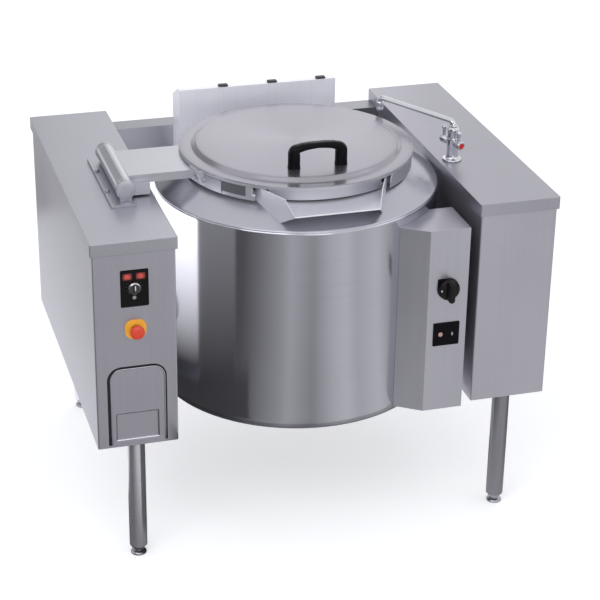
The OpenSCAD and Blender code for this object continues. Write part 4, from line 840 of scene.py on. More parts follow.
def skirt_dressing():
    """The saddle's folded frame and hexagon bolt at the back of the spout, and a dark patch on the
    skirt between that frame and the spout's wall, which is painted shade."""
    rise, under_rim = 0.0022, 1.1180
    skirt_patch("Saddle_frame", (192.0, 204.2), (1.0740, under_rim), rise, frame_light, 0.0046)
    # A dark patch of painted shade on the skirt, between the saddle and the spout's wall.
    skirt_patch("Skirt_shade_patch", (214.9, 229.3), (1.0800, under_rim), 0.0010, skirt_shade_steel, 0.0008)
    turn, bolt_z = math.radians(198.8), 1.0915
    out = np.array([math.cos(turn), math.sin(turn), 0])
    side = np.array([-math.sin(turn), math.cos(turn), 0])
    at = np.append(kettle_at, bolt_z) + out * (lid_r - 0.0030)
    hex_head("Saddle_bolt", 0.0160, 0.0065,
             lambda p: at + p[..., :1] * side + p[..., 1:2] * [0, 0, 1] + p[..., 2:] * out,
             "lid", "skirt_steel", screw_steel)


def spout_lip():
    """The rolled front lip of the spout: a circle carried along the spout's front edge, in light
    steel as a painted highlight.
    """
    half, r, steps = 0.1272, 0.0021, 24
    path = np.column_stack([kettle_at[0] + np.linspace(-half, half, steps),
                            np.full(steps, kettle_at[1] - kettle_r + 0.0012),
                            np.full(steps, LIP_Z - 0.0010)])
    carried("Spout_lip", path, circle_outline(r, 16), "kettle", "spout_steel", painted_highlight_steel)


skirt_dressing()
spout_lip()


# --- Hinge ----------------------------------------------------------------------------


def hinge_line():
    """The x and z of the hinge's axis."""
    return mid("lid_barrel")[[0, 2]]


def hinge_sleeve():
    """The barrel: a straight tube line with rounded ends and a shallow groove near each,
    carried round the hinge line, with a bore for the pin."""
    x, z = hinge_line()
    r, bore = high("hinge_base")[2] - z - 0.0004, 0.0082
    y0, y1 = low("lid_barrel")[1], high("lid_barrel")[1]
    half_line = [(-0.001, 0), (0, 0.001), (0, 0.010), (-0.0008, 0.011), (0, 0.012)]
    line = [(bore, y0)] + [(r + dr, y0 + dy) for dr, dy in half_line] + [(r, (y0 + y1) / 2)] \
        + [(r + dr, y1 - dy) for dr, dy in half_line[::-1]] + [(bore, y1), (bore, y0)]
    turned("Hinge_sleeve", line, (x, 0, z), "lid", "barrel_steel", "y", 128, ("lid_barrel",),
           sharp=30)


def hinge_bolts():
    """Hexagon heads over the bolts of the hinge's base, beside the barrel."""
    box_low = low("hinge_base")
    quarter = 0.322 / 4
    joined("Hinge_bolts", [
        hex_head("Head", 0.0125, 0.0062,
                 lambda p, dy=dy: p + [box_low[0] + 0.009, kettle_at[1] + dy, box_low[2] + 0.0083],
                 "frame", "hinge_steel", screw_steel) for dy in (-quarter, quarter)])


def hinge_ends():
    """A plain, slightly domed disc over each outer end of the hinge, its edge turned down."""
    x, z = hinge_line()
    r, inset = high("hinge_base")[2] - z - 0.0006, 0.030
    pieces = []
    for y, s in ((low("hinge_base")[1] + inset, -1), (high("hinge_base")[1] - inset, 1)):
        line = [(part * r, y + s * proud) for part, proud in (
            (0, 0.0040), (0.6, 0.0037), (1, 0.0026), (1, 0.0001), (0, 0.0001))]
        pieces.append(turned("End", rounded_profile(line, 0.0018, 5), (x, 0, z), "frame",
                             "hinge_steel", "y", 96))
    joined("Hinge_end_discs", pieces)


hinge_sleeve()
hinge_ends()
rounded("hinge_base", 0.0015, "frame", "hinge_steel", material=FINISHES["cap_steel"])
hinge_bolts()


# --- Service panel ------------------------------------------------------------------------


def arch_line(left, right, bottom, top, radius):
    """Points up the left side, round the two upper corners and down the right side of an
    arch, the corners being quarter circles."""
    turn = np.linspace(math.pi, math.pi / 2, 14)
    one = arc((left + radius, top - radius), radius, turn)
    two = np.column_stack([right - radius - radius * np.cos(turn), one[:, 1]])[::-1]
    rise = np.linspace(bottom, top - radius, 8)[:-1]
    up = np.column_stack([np.full(len(rise), left), rise])
    down = np.column_stack([np.full(len(rise), right), rise[::-1]])
    return np.concatenate([up, one, two, down])


def panel_gap():
    """A dark strip round the service panel, painted shadow in its recess, wide at its left and top
    where the shade falls, and the panel's own rolled edge beside it: a half circle carried along
    the arch."""
    (x0, y, z0), (x1, _, z1) = low("service_panel"), high("service_panel")
    x0, x1, z0, z1 = x0 + 0.002, x1 - 0.002, z0 + 0.001, z1 - 0.002
    outer = arch_line(x0 - 0.0015, x1 + 0.0015, z0, z1 + 0.0015, 0.0415)
    inner = arch_line(x0 + 0.0092, x1 - 0.0034, z0, z1 - 0.0090, 0.0350)
    points = np.stack([np.column_stack([line[:, 0], np.full(len(line), y - 0.0003), line[:, 1]])
                       for line in (outer, inner)])
    grid_piece("Service_panel_shadow", points, "frame", "panel_steel", panel_shadow_dark, thickness=0.0002)
    edge, r = arch_line(x0 + 0.0110, x1 - 0.0052, z0, z1 - 0.0108, 0.0330), 0.0023
    step = np.gradient(edge, axis=0)
    step /= np.linalg.norm(step, axis=1, keepdims=True)
    across = np.column_stack([-step[:, 1], step[:, 0]])
    rows = []
    for t in np.linspace(0, math.pi, 9):
        line = edge + across * r * math.cos(t)
        out = np.full(len(edge), y - 0.0001 - 0.8 * r * math.sin(t))
        rows.append(np.column_stack([line[:, 0], out, line[:, 1]]))
    grid_piece("Service_panel_edge", np.stack(rows), "frame", "panel_steel", thickness=0.0003)


def panel_press():
    """The pressed field in the panel: four slopes from the panel's face down to the field, a
    rounded rectangle that shrinks as it goes in by 3 w^2 - 2 w^3 of its depth, a bend at both
    ends. Dark strips at its right, left and top stand as painted shade, and a light fold along its
    foot as a painted highlight."""
    width, height, deep, shrink = 0.126, 0.089, 0.0028, 0.008
    y, z = low("service_panel")[1], low("service_panel")[2] + 0.013 + height / 2
    rows = []
    for way in (0, 0.15, 0.35, 0.5, 0.65, 0.85, 1):
        drop = deep * (3 * way ** 2 - 2 * way ** 3) - 0.0003
        line = plate_outline(width + 0.002 - shrink * way, height + 0.002 - shrink * way, 0.002)
        rows.append(np.column_stack([left_x + line[:, 0], np.full(len(line), y + drop),
                                     z + line[:, 1]]))
    grid_piece("Service_panel_press", np.stack(rows), "frame", "panel_steel", wrap=(False, True),
               thickness=0.0003)
    # Dark strips at the right, left and top of the pressed field: painted shade.
    joined("Service_panel_shade_strips", [
        raised_plate("Seam", plate_outline(w, h, 0.0006), 0.0005, 0.0001,
                     facing_front((left_x + dx, y, z + dz)), "frame", "panel_steel", panel_shade_strip_dark)
        for w, h, dx, dz in ((0.0030, height - 0.004, width / 2 - 0.0012, 0),
                             (0.0016, height - 0.004, 0.0012 - width / 2, 0),
                             (width - 0.004, 0.0014, 0, height / 2 - 0.0010))])
    # A light fold along the field's foot: a painted highlight.
    x = np.linspace(-width / 2 + 0.001, width / 2 - 0.001, 16) + left_x
    path = np.column_stack([x, np.full(len(x), y + 0.0004),
                            np.full(len(x), z - height / 2 + 0.0012)])
    carried("Service_panel_fold", path, circle_outline(0.0022, 14), "frame", "panel_steel",
            painted_highlight_steel)


def stop_plate():
    """The stop button's yellow plate with wide round corners, and its raised collar."""
    back, front = high("stop_plate")[1], low("stop_plate")[1]
    z, middle, bore = mid("stop_plate")[2], (back + front) / 2, 0.0125
    plate = raised_plate("Plate", plate_outline(0.062, 0.059, 0.023, 10), (back - front) / 2,
                         0.0010, facing_front((left_x, back, z)), "frame", "stop_yellow")
    line = [(bore, middle + 0.0002), (0.0235, middle + 0.0002), (0.0215, front + 0.0004),
            (0.0175, front), (bore, front + 0.0004), (bore, middle + 0.0002)]
    collar = turned("Collar", rounded_profile(line, 0.0010, 4), (left_x, 0, z), "frame",
                    "stop_yellow", "y", 96)
    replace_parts(joined("Stop_plate_dressed", [plate, collar]), "stop_plate")


def display_bezel():
    """The folded lip under the black display plate and at its right: two rounded strips that stand
    just proud of the pillar, in light steel as a painted highlight."""
    x, _, z = mid("control_plate")
    w, _, h = high("control_plate") - low("control_plate")
    joined("Display_bezel", [
        raised_plate("Lip", plate_outline(a, b, 0.0007), 0.0012, 0.0005,
                     facing_front((x + dx, high("control_plate")[1], z + dz)), "frame",
                     "control_black", painted_highlight_steel)
        for a, b, dx, dz in ((w + 0.004, 0.0026, 0, -h / 2 - 0.0014),
                             (0.0016, h + 0.002, w / 2 + 0.0009, 0))])


panel_gap()
panel_press()
stop_plate()
display_bezel()


# --- Controls on the left pillar --------------------------------------------------------

# Bars of a seven-bar figure: top, upper right, lower right, bottom, lower left, upper left,
# middle
FIGURES = {"0": "1111110", "2": "1101101", "5": "1011011", "8": "1111111"}


def figure(text, place, width, height, gap):
    """Lit numbers made of seven bars each; a bar is a long hexagon on the window."""
    bars = []
    w, h, t = width / 2, height / 2, width * 0.17
    spots = [(0, h, 0), (w, h / 2, 1), (w, -h / 2, 1), (0, -h, 0), (-w, -h / 2, 1), (-w, h / 2, 1),
             (0, 0, 0)]
    for k, letter in enumerate(text):
        shift = (k - (len(text) - 1) / 2) * (width + gap)
        for lit, (x, y, stands) in zip(FIGURES[letter], spots):
            if lit == "1":
                half = (h / 2 if stands else w) - t * 0.35
                slant = half - t / 2
                bar = np.array([(half, 0), (slant, t / 2), (-slant, t / 2), (-half, 0),
                                (-slant, -t / 2), (slant, -t / 2)])
                bar = bar[:, ::-1] * [1, -1] if stands else bar
                moved = lambda p, dx=shift + x, dy=y: place(p + [dx, dy, 0])
                bars.append(raised_plate("Bar", bar, 0.00025, 0.0001, moved, "frame",
                                         "display_red", digit_glow))
    return bars


def displays():
    """Two lit windows with a two-figure number each, and a round lamp below the knob."""
    face, rise = high("displays")[1], 0.0012
    windows, numbers = [], []
    for sx, text in ((-1, "85"), (1, "20")):
        x, z = left_x + sx * display_at[1], display_at[2]
        windows.append(raised_plate("Window", plate_outline(0.027, 0.020, 0.002), rise, 0.0004,
                                    facing_front((x, face, z)), "frame", "display_red"))
        numbers += figure(text, facing_front((x, face - rise, z)), 0.0048, 0.0095, 0.0026)
    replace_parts(joined("Display_windows", windows), "displays")
    joined("Display_figures", numbers)
    dome = [(r, face - proud) for r, proud in (
        (0, 0), (0.0055, 0), (0.0055, 0.0006), (0.0046, 0.0011), (0.0028, 0.0014), (0, 0.0015))]
    turned("Ready_lamp", dome, (left_x, 0, low("displays")[2] + 0.0055), "frame", "display_red",
           "y", 48, material=lamp_grey)


def control_knob():
    """The control knob: a fluted skirt, a bright bevelled ring, a grip bar and a pointer, and
    a scale round it. The flutes are a cosine of 30 times the angle taken off the skirt's
    radius."""
    x, _, z = mid("control_knob")
    front, back = low("control_knob")[1], high("control_knob")[1]
    plate, body, slot = low("control_plate")[1], "control_knob_body", "knob_grey"
    face = plate - 0.0118

    def flutes(angle, profile):
        """Takes one plus the cosine off the rows that are as wide as the skirt."""
        side = (profile[:, 0] > 0.0176)[:, None]
        return side * -0.00025 * (1 + np.cos(30 * angle))

    def before_plate(*line):
        """Turns (radius, distance in front of the plate) into profile points."""
        return [(r, plate - proud) for r, proud in line]

    skirt = [(0, back), (0.003, back)] + before_plate(
        (0.003, 0.0004), (0.0170, 0.0004), (0.0180, 0.0010), (0.0180, 0.0070), (0.0160, 0.0088),
        (0.0142, 0.0112), (0.0134, 0.0118), (0, 0.0118))
    disc = turned("Knob", skirt, (x, 0, z), body, slot, "y", 180, ripple=flutes)
    bar = raised_plate("Grip", plate_outline(0.0080, 0.0300, 0.0038), face - front - 0.0003,
                       0.0014, facing_front((x, face, z)), body, slot)
    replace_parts(joined("Control_knob_grip", [disc, bar]), "control_knob")
    ring = before_plate((0.0181, 0.0072), (0.0177, 0.0082), (0.0162, 0.0094), (0.0146, 0.0112),
                        (0.0141, 0.0108), (0.0160, 0.0072), (0.0181, 0.0072))
    turned("Control_knob_ring", ring, (x, 0, z), body, slot, "y", 128, material=ring_silver)
    raised_plate("Control_knob_pointer", plate_outline(0.0026, 0.0150, 0.0010), 0.0003, 0.0001,
                 facing_front((x, front + 0.0003, z + 0.0062)), body, slot, pointer_white)
    ticks, scale_r = [], 0.0215
    for turn in np.radians(np.linspace(-135, 135, 11)):
        c, s = math.cos(turn), math.sin(turn)
        outline = plate_outline(0.0007, 0.0024, 0.0003) @ np.array([[c, -s], [s, c]])
        ticks.append(raised_plate("Tick", outline, 0.0002, 0.0001,
                                  facing_front((x + scale_r * s, plate, z + scale_r * c)),
                                  "frame", slot, lamp_grey))
    joined("Control_knob_scale", ticks)


def stop_button():
    """The stop button: a mushroom head and a waist, on its stem. Its face is a dome that falls
    with the square of the way out."""
    x, _, z = mid("stop_button")
    front, back, r = low("stop_button")[1], high("stop_button")[1], half_width("stop_button")
    way = np.linspace(0, 1, 9)
    face = np.column_stack([0.78 * r * way, front + 0.0030 * way ** 2])
    rim = rounded_profile([tuple(face[-1]), (r, front + 0.0046), (r, front + 0.0100),
                           (0.0150, front + 0.0165), (0.0130, front + 0.0222)], 0.004, 6)
    stem = [(0.0080, front + 0.0224), (0.0080, back), (0, back)]
    turned("Stop_mushroom", np.concatenate([face[:-1], rim, stem]), (x, 0, z), "stop_button_body",
           "stop_red", "y", 128, replaces=("stop_button",))


displays()
control_knob()
stop_button()


# --- Controls on the kettle's box --------------------------------------------------------


def box_plates():
    """The two black plates of the kettle's box and their lamps. The switch's plate is round
    but for its upper left quarter: |x|^n + |y|^n = 1 with n 2 in three quarters and 14 in
    that one."""
    box_low, box_high = low("control_box_plates"), high("control_box_plates")
    x, _, z = mid("power_switch")
    face, back = box_low[1], box_high[1]
    round_r, width, height = 0.0340, 0.082, 0.075
    angle = np.linspace(0, TAU, 144, endpoint=False)
    power = np.where((angle > math.pi / 2) & (angle < math.pi), 14.0, 2.0)
    c, d = np.abs(np.cos(angle)), np.abs(np.sin(angle))
    r = round_r / (c ** power + d ** power) ** (1 / power)
    lamp_z = box_low[2] + height / 2
    plates = [raised_plate(name, outline, back - face, 0.0008, facing_front((x, back, at_z)),
                           "kettle", "box_black")
              for name, outline, at_z in (
                  ("Base", np.stack([r * np.cos(angle), r * np.sin(angle)], 1), z),
                  ("Lamps", plate_outline(width, height, 0.002), lamp_z))]
    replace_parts(joined("Box_plates", plates), "control_box_plates")
    front = low("box_lamps")[1]
    left, right = low("box_lamps")[0] + 0.007, high("box_lamps")[0] - 0.007
    dome = [(0, face), (0.0070, face), (0.0070, face - 0.0008), (0.0060, face - 0.0022),
            (0.0036, face - 0.0034), (0, front)]
    turned("Heat_lamp", dome, (left, 0, lamp_z), "kettle", "lamp_clear", "y", 64,
           ("box_lamps",))
    raised_plate("Spark_lamp", plate_outline(0.0042, 0.0100, 0.0018), face - front, 0.0010,
                 facing_front((right, face, lamp_z)), "kettle", "lamp_clear", lamp_white)


def power_switch():
    """The rotary switch: a scalloped disc with a thick rounded grip across it and a small
    white mark. The scallops are a cosine of 20 times the angle taken off the radius."""
    x, _, z = mid("power_switch")
    front, back, r = low("power_switch")[1], high("power_switch")[1], half_width("power_switch")
    face, body, slot = low("control_box_plates")[1], "power_switch_body", "switch_black"

    def scallops(angle, profile):
        """Takes one plus the cosine off the disc's side, in front of its flat."""
        side = ((profile[:, 0] > r - 0.002) & (profile[:, 1] > face - 0.0100))[:, None]
        return side * -0.0003 * (1 + np.cos(20 * angle))

    line = [(0, back), (0.004, back), (0.004, face - 0.0004), (r - 0.0012, face - 0.0004),
            (r, face - 0.0014), (r, face - 0.0082), (r - 0.0016, face - 0.0105),
            (r - 0.0048, face - 0.0122), (0, face - 0.0126)]
    disc = turned("Disc", line, (x, 0, z), body, slot, "y", 200, ripple=scallops)
    grip = raised_plate("Grip", plate_outline(0.0190, 2 * r - 0.001, 0.0092, 9),
                        face - 0.0120 - front, 0.0046, facing_front((x, face - 0.0120, z)),
                        body, slot)
    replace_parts(joined("Power_switch_grip", [disc, grip]), "power_switch")
    raised_plate("Power_switch_mark", plate_outline(0.0036, 0.0062, 0.0012), 0.0007, 0.0002,
                 facing_front((x - 0.0252, face - 0.0124, z + 0.001)), body, slot, pointer_white)


box_plates()
power_switch()


# --- Tap ---------------------------------------------------------------------------------

tap_at = np.array([*mid("tap_body")[:2], cap_top])
# Heights above the cap, the bends' and the tube's radius, and how far the spout reaches
TAP_TOP, VALVE_UP, BEND_R, TUBE_R, REACH = 0.108, 0.058, 0.016, 0.0085, 0.301
HOT, COLD, SWIVEL = math.radians(-76), math.radians(112), math.radians(119.6)


def level(turn):
    """A level direction at an angle from the x axis: its cosine and its sine."""
    return np.array([math.cos(turn), math.sin(turn), 0])


def tap_column():
    """The tap's body: a turned column on a round flange, with a stub for each valve."""
    line = [(0, -0.060), (0.0150, -0.060), (0.0150, 0.0003), (0.0292, 0.0003), (0.0300, 0.0012),
            (0.0300, 0.0040), (0.0286, 0.0062), (0.0225, 0.0070), (0.0200, 0.0082),
            (0.0182, 0.0120), (0.0172, 0.0200), (0.0172, 0.0420), (0.0180, 0.0445),
            (0.0182, 0.0700), (0.0172, 0.0725), (0.0172, 0.0900), (0.0180, 0.0915),
            (0.0180, 0.0990), (0.0162, 0.1045), (0.0126, 0.1074), (0.0094, 0.1080),
            (0.0094, 0.0900), (0, 0.0900)]
    stub = [(0, 0.006), (0.0110, 0.006), (0.0110, 0.0196), (0.0128, 0.0204), (0.0128, 0.0238),
            (0, 0.0238)]
    parts = [turned("Column", rounded_profile(line, 0.0012, 4), tap_at, "frame", "tap_chrome",
                    around=128)]
    for turn in (HOT, COLD):
        parts.append(turned("Stub", rounded_profile(stub, 0.0008, 4), tap_at + [0, 0, VALVE_UP],
                            "frame", "tap_chrome", level(turn), 64))
    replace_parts(joined("Tap_column", parts), "tap_body")


def tap_tube():
    """The tap's swivel spout: a round tube carried up the stem, round a quarter bend, along
    the straight run, round a second bend and into a ringed nozzle."""
    body, slot, out = "tap_spout_body", "tap_chrome", level(SWIVEL)
    bend = np.linspace(0, math.pi / 2, 12)
    first = np.column_stack([BEND_R - BEND_R * np.cos(bend), TAP_TOP + BEND_R * np.sin(bend)])
    far = REACH - BEND_R
    second = np.column_stack([far + BEND_R * np.sin(bend), TAP_TOP + BEND_R * np.cos(bend)])
    run = np.column_stack([np.linspace(BEND_R, far, 12)[1:-1], np.full(10, TAP_TOP + BEND_R)])
    flat = np.concatenate([[[0, TAP_TOP - 0.017], [0, TAP_TOP - 0.006]], first, run, second,
                           [[REACH, TAP_TOP - 0.008]]])
    path = tap_at + flat[:, :1] * out + flat[:, 1:] * [0, 0, 1]
    tube = carried("Tube", path, circle_outline(TUBE_R, 40), body, slot)
    tip = TAP_TOP + BEND_R + TUBE_R - 0.050
    nozzle = [(r, tip + up) for r, up in (
        (0, 0.012), (0.0085, 0.012), (0.0085, 0), (0.0104, 0), (0.0112, 0.0020), (0.0112, 0.0085),
        (0.0104, 0.0095), (0.0104, 0.0110), (0.0118, 0.0120), (0.0118, 0.0260), (0.0100, 0.0290),
        (0.0086, 0.0300), (0, 0.0300))]
    end = turned("Nozzle", rounded_profile(nozzle, 0.0007, 4), tap_at + REACH * out, body, slot,
                 around=64)
    nut = [(r, TAP_TOP + up) for r, up in (
        (0.0087, 0.0004), (0.0125, 0.0004), (0.0130, 0.0016), (0.0120, 0.0050), (0.0088, 0.0062),
        (0.0087, 0.0004))]
    ring = turned("Ring", rounded_profile(nut, 0.0006, 4), tap_at, body, slot, around=64)
    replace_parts(joined("Tap_spout_tube", [tube, end, ring]), "tap_spout")


def tap_handle(name, turn, lean, body, node, dot):
    """A tap handle: a lobed hub on its valve, a waisted lever with a round end, and a
    coloured dot on the hub's face. The lobes are a cosine of 8 times the angle."""
    axis, side = level(turn), np.array([-math.sin(turn), math.cos(turn), 0])
    at = tap_at + [0, 0, VALVE_UP]

    def lobes(angle, profile):
        """Takes one plus the cosine off the rows that are as wide as the hub's rim."""
        rim = (profile[:, 0] > 0.0125)[:, None]
        return rim * -0.0004 * (1 + np.cos(8 * angle))

    hub_line = [(0, 0.0245), (0.0112, 0.0245), (0.0140, 0.0272), (0.0140, 0.0445),
                (0.0118, 0.0481), (0.0096, 0.0481), (0.0092, 0.0471), (0, 0.0471)]
    hub = turned("Hub", rounded_profile(hub_line, 0.0016, 5), at, body, "tap_chrome", axis, 96,
                 ripple=lobes)
    lever_line = [(0, 0.006), (0.0062, 0.006), (0.0060, 0.016), (0.0050, 0.024), (0.0056, 0.0315),
                  (0.0074, 0.0355), (0.0078, 0.0400), (0.0062, 0.0438), (0.0030, 0.0450),
                  (0, 0.0450)]
    up = -math.sin(lean) * side + math.cos(lean) * np.array([0, 0, 1])
    lever = turned("Lever", rounded_profile(lever_line, 0.0025, 5), at + 0.0362 * axis, body,
                   "tap_chrome", up, 48)
    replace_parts(joined(name + "_handle_dressed", [hub, lever]), node)
    dot_line = [(0, 0.0472), (0.0089, 0.0472), (0.0086, 0.0478), (0.0060, 0.0481), (0, 0.0482)]
    turned(name + "_dot", dot_line, at, body, "tap_chrome", axis, 48, material=dot)


tap_column()
tap_tube()
tap_handle("Hot", HOT, math.radians(6), "hot_handle_body", "hot_handle", dot_red)
tap_handle("Cold", COLD, math.radians(-6), "cold_handle_body", "cold_handle", dot_blue)


# --- Legs and feet -------------------------------------------------------------------------


def leg(node):
    """A leg: a round tube with a rolled lower edge, and a weld bead where it meets the
    pillar. The bead's radius waves with a cosine of 38 times the angle, as a hand weld's
    does. The tube is drawn a little wider than its solid, as the photograph has it."""
    (x, y, z0), z1, width = low(node), high(node)[2], half_width(node)
    at, r = (x + width, y + width, 0), width + 0.0018
    bore, deep = 0.0104, 0.004
    line = [(0, z0 + deep), (bore, z0 + deep), (bore, z0), (r, z0), (r, z1), (0, z1)]
    # The right legs take the dark copy of the legs' steel, which is painted shade.
    turned(node + "_tube", rounded_profile(line, 0.0022, 6), at, "frame", "leg_steel", around=96,
           replaces=(node,), material=right_leg_shaded_steel if "right" in node else None)
    bead = [(r + out, z1 - down) for out, down in (
        (-0.0004, 0.0045), (0.0010, 0.0038), (0.0024, 0.0020), (0.0030, 0.0002),
        (-0.0004, 0.0002), (-0.0004, 0.0045))]
    turned(node + "_weld", bead, at, "frame", "leg_steel", around=120, material=weld_grey,
           ripple=lambda a, p: (p[:, 0] > r)[:, None] * 0.0003 * np.cos(38 * a))


def foot(node, body):
    """A foot: a rounded disc, a neck and a threaded stem, with a hexagon nut on the neck. The
    thread's radius is a cosine of the height over its pitch."""
    (x, y, _), top, r = low(node), high(node)[2], half_width(node)
    at = np.array([x + r, y + r, 0])
    stem_r, thread_deep, pitch = 0.0094, 0.0004, 0.002
    thread = np.linspace(0.0300, top - 0.001, 90)
    line = np.concatenate([
        rounded_profile([(0, 0), (r - 0.002, 0), (r, 0.0016), (r, 0.0050), (0.0205, 0.0088),
                         (0.0130, 0.0118), (0.0122, 0.0135), (0.0122, 0.0298)], 0.0012, 5),
        np.column_stack([stem_r + thread_deep * np.cos(TAU * thread / pitch), thread]),
        [[0, top - 0.001]]])
    parts = [turned("Disc", line, at, body, "foot_steel", around=64),
             hex_head("Nut", 0.0360, 0.0088, lambda p: p + at + [0, 0, 0.0198], body,
                      "foot_steel")]
    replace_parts(joined(node + "_levelling", parts), node)


for corner in ("front_left", "front_right", "rear_left", "rear_right"):
    leg(corner + "_leg")
    foot(corner + "_foot", corner + "_foot_body")


# --- Backs of the pillars ------------------------------------------------------------------


BACK_Y = high("left_casing")[1]


def louvre(x, z, width, height, depth):
    """A pressed louvre: a hood whose line is depth times the sine to the power 0.7 over its
    height. It narrows to nothing at both ends, by the square root of one less the eighth
    power of the way from the middle."""
    s = np.linspace(-1, 1, 41)[:, None]
    size = np.sqrt(np.clip(1 - s ** 8, 0, 1))
    turn = np.linspace(0, math.pi, 11)[None]
    points = np.stack(np.broadcast_arrays(
        x + width / 2 * s, BACK_Y + depth * np.sin(turn) ** 0.7 * size,
        z + height * (turn / math.pi - 0.35) * size), 2)
    return grid_piece("Louvre", points, "frame", "back_steel", wrap=(False, True))


def pillar_back(side, x):
    """Louvres with a dark strip of painted shade under each where the opening would be, and screws
    down both edges of a back panel.
    """
    rows = np.linspace(0.640, 0.880, 8)
    joined(side + "_louvres", [louvre(x, z, 0.130, 0.016, 0.0048) for z in rows])
    joined(side + "_louvre_slits", [
        raised_plate("Slit", plate_outline(0.116, 0.0026, 0.0010), 0.0004, 0.0002,
                     facing_back((x, BACK_Y, z - 0.0074)), "frame", "back_steel", louvre_shade_dark)
        for z in rows])
    joined(side + "_back_screws", [
        screw(facing_back((x + sx, BACK_Y, z)), "frame")
        for sx in (-0.106, 0.106) for z in (0.425, 0.620, 0.815, 0.990)])


def inlet_nut(name, x, material):
    """A hexagon nut round a water or cable inlet at the pillars' backs."""
    return hex_head(name, 0.036, 0.0045, facing_back((x, BACK_Y, 0.490)), "frame", "back_steel",
                    FINISHES[material], bore=0.0141)


pillar_back("Left", left_x)
pillar_back("Right", right_x)
inlet_nut("Cable_gland_nut", left_x, "cowl_black")
joined("Water_inlet_nuts", [inlet_nut("Nut", right_x + sx * 0.030, "valve_brass")
                            for sx in (-1, 1)])


# --- Sheet metal whose CAD shape is right: rounded edges and its finish ----------------

for node, width, body, slot in (
        ("left_casing", 0.0012, "frame", "casing_steel"),
        ("right_casing", 0.0012, "frame", "casing_steel"),
        ("left_cap", 0.0016, "frame", "cap_steel"),
        ("right_cap", 0.0016, "frame", "cap_steel"),
        ("left_back_panel", 0.0006, "frame", "back_steel"),
        ("right_back_panel", 0.0006, "frame", "back_steel"),
        ("rear_beam", 0.0016, "frame", "beam_steel"),
        ("service_panel", 0.0010, "frame", "panel_steel"),
        ("flue_box", 0.0014, "frame", "flue_steel"),
        ("flue_cowls", 0.0008, "frame", "cowl_black"),
        ("control_box", 0.0016, "kettle", "box_steel"),
        ("spout", 0.0008, "kettle", "spout_steel"),
        ("control_plate", 0.0006, "frame", "control_black")):
    # The right cap takes the darker copy of the cap's steel, which is painted shade.
    rounded(node, width, body, slot, right_cap_shaded_steel if node == "right_cap" else None)

# The pieces that keep their CAD mesh get the finish that their material is named for
for piece in NODES.values():
    for held in () if piece.hide_render else piece.material_slots:
        wanted = held.material.name.split(".")[0] if held.material else None
        if wanted in FINISHES:
            held.material = FINISHES[wanted]


# --- Light, floor and camera ----------------------------------------------------------


def glow_where(tree, seen, strength):
    """A glow of one strength for the rays that seen marks, and none for the others."""
    mix = tree.nodes.new("ShaderNodeMixShader")
    tree.links.new(seen, mix.inputs["Fac"])
    for socket, bright in ((1, 0.0), (2, strength)):
        glow = tree.nodes.new("ShaderNodeEmission")
        glow.inputs["Strength"].default_value = bright
        tree.links.new(glow.outputs[0], mix.inputs[socket])
    return mix.outputs[0]


def seen_by_eye_or_steel(tree):
    """1 for rays from the camera, off a glossy surface or through glass."""
    ray = tree.nodes.new("ShaderNodeLightPath")
    first = combined(tree, ray.outputs["Is Camera Ray"], ray.outputs["Is Glossy Ray"], "MAXIMUM")
    return combined(tree, first, ray.outputs["Is Transmission Ray"], "MAXIMUM")


def stage_object(name, points, material):
    """A plain sheet of quads through a grid of points, rows by columns by 3."""
    rows, columns = points.shape[:2]
    index = np.arange(rows * columns).reshape(rows, columns)
    faces = np.stack([index[:-1, :-1], index[1:, :-1], index[1:, 1:], index[:-1, 1:]], -1)
    mesh = bpy.data.meshes.new(name)
    mesh.from_pydata(points.reshape(-1, 3).tolist(), [], faces.reshape(-1, 4).tolist())
    mesh.materials.append(material)
    sheet = bpy.data.objects.new(name, mesh)
    bpy.context.scene.collection.objects.link(sheet)
    return sheet


def studio_floor():
    """A wide flat floor. The camera and the steel see it white, with the object's soft
    shadow kept; everything else sees a pale matt grey."""
    material, tree, shader = finish("Studio_floor", (0.82, 0.82, 0.82), 0.0, 1.0)
    shader.inputs["Specular IOR Level"].default_value = 0.0
    both = tree.nodes.new("ShaderNodeAddShader")
    tree.links.new(shader.outputs[0], both.inputs[0])
    tree.links.new(glow_where(tree, seen_by_eye_or_steel(tree), 0.42), both.inputs[1])
    tree.links.new(both.outputs[0], tree.nodes["Material Output"].inputs["Surface"])
    x, y = np.meshgrid(np.linspace(-30, 30, 3), np.linspace(-30, 30, 3), indexing="ij")
    stage_object("Floor", np.stack([x, y, 0 * x], -1), material)


def studio_world():
    """A soft bluish light all round, which the camera and the steel see as plain white."""
    world = bpy.data.worlds.new("Studio")
    bpy.context.scene.world = world
    world.use_nodes = True
    tree = world.node_tree
    soft = tree.nodes["Background"]
    soft.inputs["Color"].default_value = (0.93, 0.95, 1.0, 1)
    soft.inputs["Strength"].default_value = 0.80
    white = tree.nodes.new("ShaderNodeBackground")
    white.inputs["Color"].default_value = (1, 1, 1, 1)
    white.inputs["Strength"].default_value = 1.0
    mix = tree.nodes.new("ShaderNodeMixShader")
    tree.links.new(seen_by_eye_or_steel(tree), mix.inputs["Fac"])
    tree.links.new(soft.outputs[0], mix.inputs[1])
    tree.links.new(white.outputs[0], mix.inputs[2])
    tree.links.new(mix.outputs[0], tree.nodes["World Output"].inputs["Surface"])


def cloth(name):
    """A cloth of the stage, which gives off its grade and nothing else."""
    material = bpy.data.materials.new(name)
    material.use_nodes = True
    tree = material.node_tree
    tree.nodes.remove(tree.nodes["Principled BSDF"])
    glow = tree.nodes.new("ShaderNodeEmission")
    tree.links.new(glow.outputs[0], tree.nodes["Material Output"].inputs["Surface"])
    return material, tree, glow


def steel_sees(name, points, material):
    """A sheet of the stage that shows in glossy reflections alone."""
    sheet = stage_object(name, points, material)
    for kind in ("camera", "diffuse", "transmission", "volume_scatter", "shadow"):
        setattr(sheet, "visible_" + kind, False)


